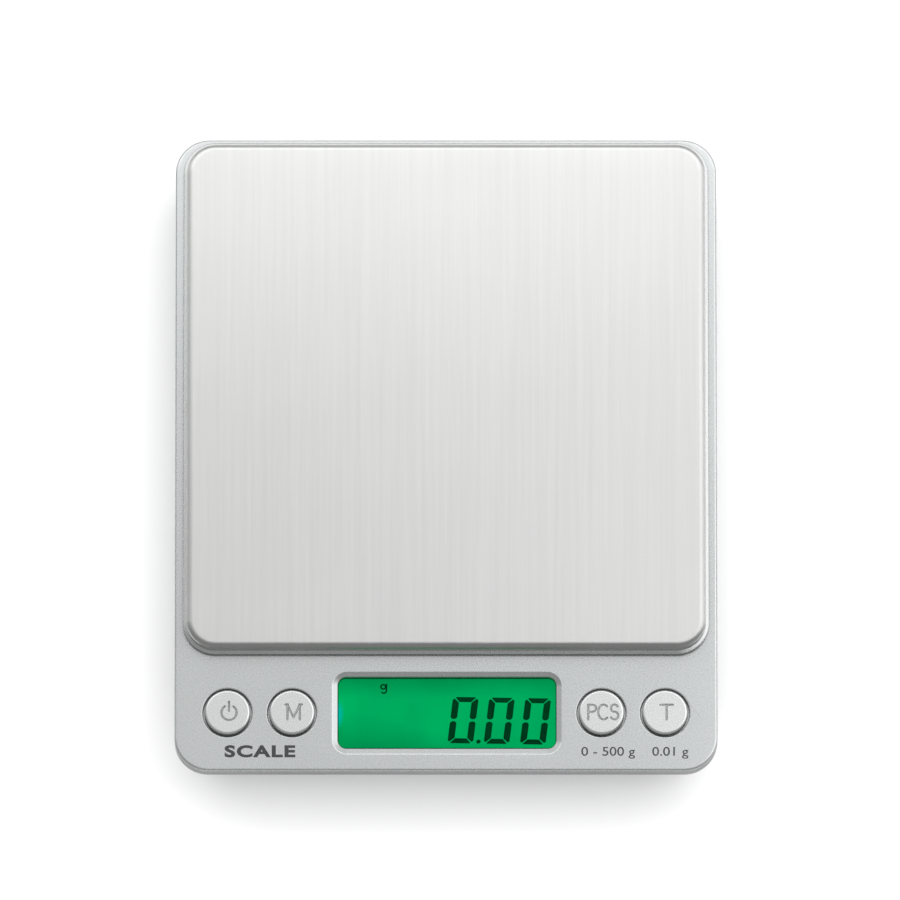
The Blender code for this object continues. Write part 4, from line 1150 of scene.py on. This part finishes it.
def segment_polygons():
    """The six lit segments of a nought, as flat outlines before they are slanted."""
    w, h, a, b = DIGIT_WIDTH, DIGIT_HEIGHT, UPRIGHT_WIDTH, BAR_HEIGHT
    half_gap = SEGMENT_GAP / 2
    middle = h / 2
    bar = [
        (a * 0.42, h - 0.12), (a * 0.52, h), (w - a * 0.52, h), (w - a * 0.42, h - 0.12),
        (w - a - half_gap, h - b), (a + half_gap, h - b),
    ]
    upright = [
        (0.0, h - 0.62), (a * 0.12, h - 0.42), (a * 0.3, h - 0.34), (a - 0.02, h - b - half_gap - 0.02),
        (a, h - b - 0.35), (a, middle + 0.62), (a * 0.8, middle + 0.3), (a * 0.5, middle + 0.2),
        (a * 0.2, middle + 0.3), (0.0, middle + 0.62),
    ]
    shapes = [bar, upright, [(w - x, y) for x, y in reversed(upright)]]
    return shapes + [[(x, h - y) for x, y in reversed(shape)] for shape in shapes]


def turned_about(points, centre, angle):
    """Points turned about a centre, as the display cell sits slightly turned in its opening."""
    turn = Matrix.Rotation(angle, 2)
    return [centre + turn @ (Vector(point) - centre) for point in points]


def make_digits(cell_top, window, material):
    """Three slanted noughts and the decimal point, on the display cell."""
    corner = window - RECESS_INNER_HALF + RECESS_INNER_SHIFT
    span = 2 * RECESS_INNER_HALF.x - LAST_DIGIT_INSET - 2 * DIGIT_PITCH
    first = Vector((corner.x + span, corner.y + DIGIT_RISE))

    def add_shape(bm, outline, x):
        slanted = [first + Vector((x + point[0] + point[1] * DIGIT_SLANT, point[1])) for point in outline]
        add_flat(bm, turned_about(slanted, first, CELL_TURN), cell_top, SEGMENT_THICKNESS)

    def draw_digits(bm):
        for number in range(3):
            for shape in segment_polygons():
                add_shape(bm, shape, number * DIGIT_PITCH)
        add_shape(bm, rounded_ring((DOT_PLACE, DOT_HALF[1]), DOT_HALF, DOT_CORNER, 0, 6), 0.0)

    place(drawn("display_digits", draw_digits, material), "case", "display_green")


def make_unit(cell_top, window, material):
    """The small g: a round bowl, and a stem with its hook."""
    bowl = window + UNIT_PLACE
    stem_x = bowl.x + UNIT_BOWL
    hook_y = bowl.y - UNIT_HOOK_DROP

    def draw_bowl(bm):
        radii = (UNIT_BOWL, UNIT_BOWL - UNIT_STROKE)
        outer, inner = (arc_path(bowl, radius, 0, 360, 20, 0.94)[:-1] for radius in radii)
        add_frame(bm, outer, inner, cell_top, SEGMENT_THICKNESS)

    def draw_stem(bm):
        path = [(stem_x, bowl.y + UNIT_STEM_RISE), (stem_x, hook_y)]
        path += arc_path((stem_x - UNIT_HOOK_RADIUS, hook_y), UNIT_HOOK_RADIUS, 0, -140, 8)
        add_flat(bm, stroke_outline(path, UNIT_STEM_HALF, 0), cell_top, SEGMENT_THICKNESS)

    place(drawn("display_unit", draw_bowl, material), "case", "display_green")
    place(drawn("display_unit_stem", draw_stem, material), "case", "display_green")


def make_display(materials):
    """The lit cell with its digits, a dark border painted round it as the shade of the opening's walls, and
    the clear window.
    """
    low, high = box_mm("lcd_glass")
    window = centre_mm("display_window").xy
    seam = (low.z + high.z) / 2
    face = high.z - CELL_FACE_DEPTH

    def draw_panel(bm):
        block(bm, low, (high.x, high.y, seam - CELL_SEAM))
        block(bm, (low.x, low.y, seam + CELL_SEAM), (high.x, high.y - CELL_LEDGE, face - CELL_SEAM))

    # Painted shade: a dark band round the lit cell, standing in for the shade of the opening's walls
    def draw_painted_shade(bm):
        grown = SHADE_BORDER_HALF + Vector((SHADE_BORDER_WIDTH, SHADE_BORDER_WIDTH))
        outer = rounded_ring(window + SHADE_BORDER_SHIFT, grown, SHADE_BORDER_CORNER + SHADE_BORDER_WIDTH, 0)
        inner = rounded_ring(window + SHADE_BORDER_SHIFT, SHADE_BORDER_HALF, SHADE_BORDER_CORNER, 0)
        add_frame(bm, outer, inner, face, 2 * SEGMENT_THICKNESS)

    def draw_pane(bm):
        bottom, top = (corner.z for corner in box_mm("display_window"))
        levels = [(PANE_EDGE, bottom), (0.0, bottom + PANE_EDGE), (0.0, top - PANE_EDGE), (PANE_EDGE, top)]
        halves = [(half_mm("display_window", -inset), z) for inset, z in levels]
        solid(bm, [rounded_ring(window, half, PANE_CORNER, z, 6) for half, z in halves])

    place(drawn("display_panel", draw_panel, materials["panel"]), "case", "display_green", "lcd_glass")
    make_digits(face, window, materials["segments"])
    make_unit(face, window, materials["segments"])
    # painted shade: the dark border round the lit cell
    place(drawn("display_painted_shade", draw_painted_shade, materials["border_shade"]), "case", "display_green")
    place(drawn("display_pane", draw_pane, materials["window"]), "case", "window_clear", "display_window")


# ---- print

INK_THICKNESS = 0.02
INK_LIFT = 0.002
TEXT_HALF_DEPTH = 0.5
PRINTS = {  # words, left edge, way below the buttons, width, capital height, boldness, letter spacing
    "name_print": ("SCALE", -43.2, 8.8, 13.8, 2.3, 0.04, 1.14),
    "range_print": ("0 - 500 g    0.01 g", 26.4, 8.6, 20.9, 1.76, 0.004, 1.0),
}


def word_mesh(name, words, boldness, spacing):
    curve = bpy.data.curves.new(name, "FONT")
    curve.body = words
    curve.offset = boldness
    curve.space_character = spacing
    curve.extrude = TEXT_HALF_DEPTH
    curve.resolution_u = 6
    text = bpy.data.objects.new(name, curve)
    bpy.context.scene.collection.objects.link(text)
    bpy.context.view_layer.update()
    mesh = bpy.data.meshes.new_from_object(text.evaluated_get(bpy.context.evaluated_depsgraph_get()))
    bpy.data.objects.remove(text)
    return mesh


def make_print(ink):
    """Words printed on the case top, as thin raised ink, scaled to a width and a capital height."""
    bottom = CASE_TOP + INK_LIFT
    for name, (words, left, below, width, height, boldness, spacing) in PRINTS.items():
        mesh = word_mesh(name, words, boldness, spacing)
        xs, ys = ([vertex.co[axis] for vertex in mesh.vertices] for axis in (0, 1))
        start = Vector((min(xs), max(0.0, min(ys)), -TEXT_HALF_DEPTH))
        scale = Vector((width / (max(xs) - min(xs)), height / max(ys), INK_THICKNESS))
        corner = Vector((left, centre_mm("button_power").y - below, bottom))
        for vertex in mesh.vertices:
            vertex.co = (corner + (vertex.co - start) * scale) * MM
        mesh.materials.clear()
        mesh.materials.append(ink)
        obj = bpy.data.objects.new(name, mesh)
        bpy.context.scene.collection.objects.link(obj)
        place(obj, "case", "black_plastic")


# ---- stage, lights and camera


def make_stage():
    """A pale floor in two level parts: only the part near the scale shows in its reflections."""
    material, tree, shader = new_material("floor_white")
    connect(tree, shader, {
        "Base Color": (FLOOR_GREY, FLOOR_GREY, FLOOR_GREY, 1.0),
        "Roughness": 0.9,
        "Specular IOR Level": 0.0,
    })
    near_ring, far_ring = (rounded_ring((0, 0), (r, r), r / 2, 0) for r in (FLOOR_NEAR, FLOOR_FAR))
    near = bmesh.new()
    near.faces.new(skin(near, [near_ring])[0])
    far = bmesh.new()
    skin(far, [far_ring, near_ring])
    for name, bm in (("floor_near", near), ("floor_far", far)):
        floor = finished(name, bm, material, weighted=False)
        floor.visible_glossy = name == "floor_near"


def add_looking(name, data, at, direction):
    """A light or camera at a place, looking along a direction."""
    obj = bpy.data.objects.new(name, data)
    obj.location = at
    obj.rotation_mode = "QUATERNION"
    obj.rotation_quaternion = direction.to_track_quat("-Z", "Y")
    bpy.context.scene.collection.objects.link(obj)
    return obj


def make_lights():
    for name, (at, target, size, power, reflected) in LIGHTS.items():
        light = bpy.data.lights.new(name, "AREA")
        light.shape = "RECTANGLE"
        light.size, light.size_y = size
        light.energy = power
        obj = add_looking(name, light, at, Vector(target) - Vector(at))
        obj.visible_camera = False
        obj.visible_glossy = reflected


def make_room():
    """A room that is bright behind the scale, and dark towards the front and the floor."""
    world = bpy.data.worlds.new("studio")
    world.use_nodes = True
    tree = world.node_tree
    background = tree.nodes["Background"]
    coords = add(tree, "ShaderNodeTexCoord", {}).outputs["Generated"]
    inputs = {0: coords, 1: ROOM_BRIGHT_SIDE}
    towards = add(tree, "ShaderNodeVectorMath", inputs, operation="DOT_PRODUCT").outputs["Value"]
    height = add(tree, "ShaderNodeSeparateXYZ", {"Vector": coords}).outputs["Z"]
    side = smooth_ramp(tree, towards, *ROOM_SIDE_RANGE)
    above = smooth_ramp(tree, height, *ROOM_HORIZON_RANGE)
    level = ranged(tree, combined(tree, "MULTIPLY", side, above), ROOM_DARK, ROOM_BRIGHT, 0.0, 1.0)
    connect(tree, background, {"Color": (1.0, 1.0, 1.0, 1.0), "Strength": level})
    bpy.context.scene.world = world
    bpy.context.scene.view_settings.view_transform = "Standard"


def make_camera():
    camera = bpy.data.cameras.new("camera")
    camera.sensor_width = 36.0
    camera.lens = camera.sensor_width * CAMERA_DISTANCE / VIEW_WIDTH
    camera.clip_end = 100.0
    back = Vector((0, -math.sin(VIEW_TILT), math.cos(VIEW_TILT)))
    bpy.context.scene.camera = add_looking("camera", camera, AIM + back * CAMERA_DISTANCE, -back)


# ---- pieces of the frame that keep their own mesh

FRAME_FINISHES = {
    "screw": ("board_screw", "platform_screw", "overload_stop_screw", "beam_base_spacer"),
    "alloy": ("platform_spacer",),
    "tin": ("battery_spring", "contact", "switch"),
    "black": ("plunger", "chip_cap"),
    "white": ("backlight",),
    "grey_wire": ("zebra_connector", "load_cell_cable"),
    "red_wire": ("battery_lead_red",),
    "black_wire": ("battery_lead_black",),
    "tape": ("pan_tape",),
    "board": ("circuit_board",),
    "jacket": ("battery_1", "battery_2"),
}


def paint_frame(materials):
    for key, stems in FRAME_FINISHES.items():
        for node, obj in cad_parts.items():
            if node.startswith(stems):
                for slot in obj.material_slots:
                    slot.material = materials[key]


def main():
    materials = make_materials()
    make_camera()
    make_stage()
    make_lights()
    make_room()
    make_top_shell(materials["case"])
    make_pan(materials["steel"])
    make_support(materials["support"])
    make_buttons(materials["cap"])
    make_display(materials)
    make_print(materials["ink"])
    make_base(materials["case"])
    make_door(materials["case"])
    make_feet(materials["rubber"])
    make_screws(materials["screw"])
    make_label(materials["label"])
    make_load_cell(materials["alloy"], materials["white"])
    paint_frame(materials)


main()
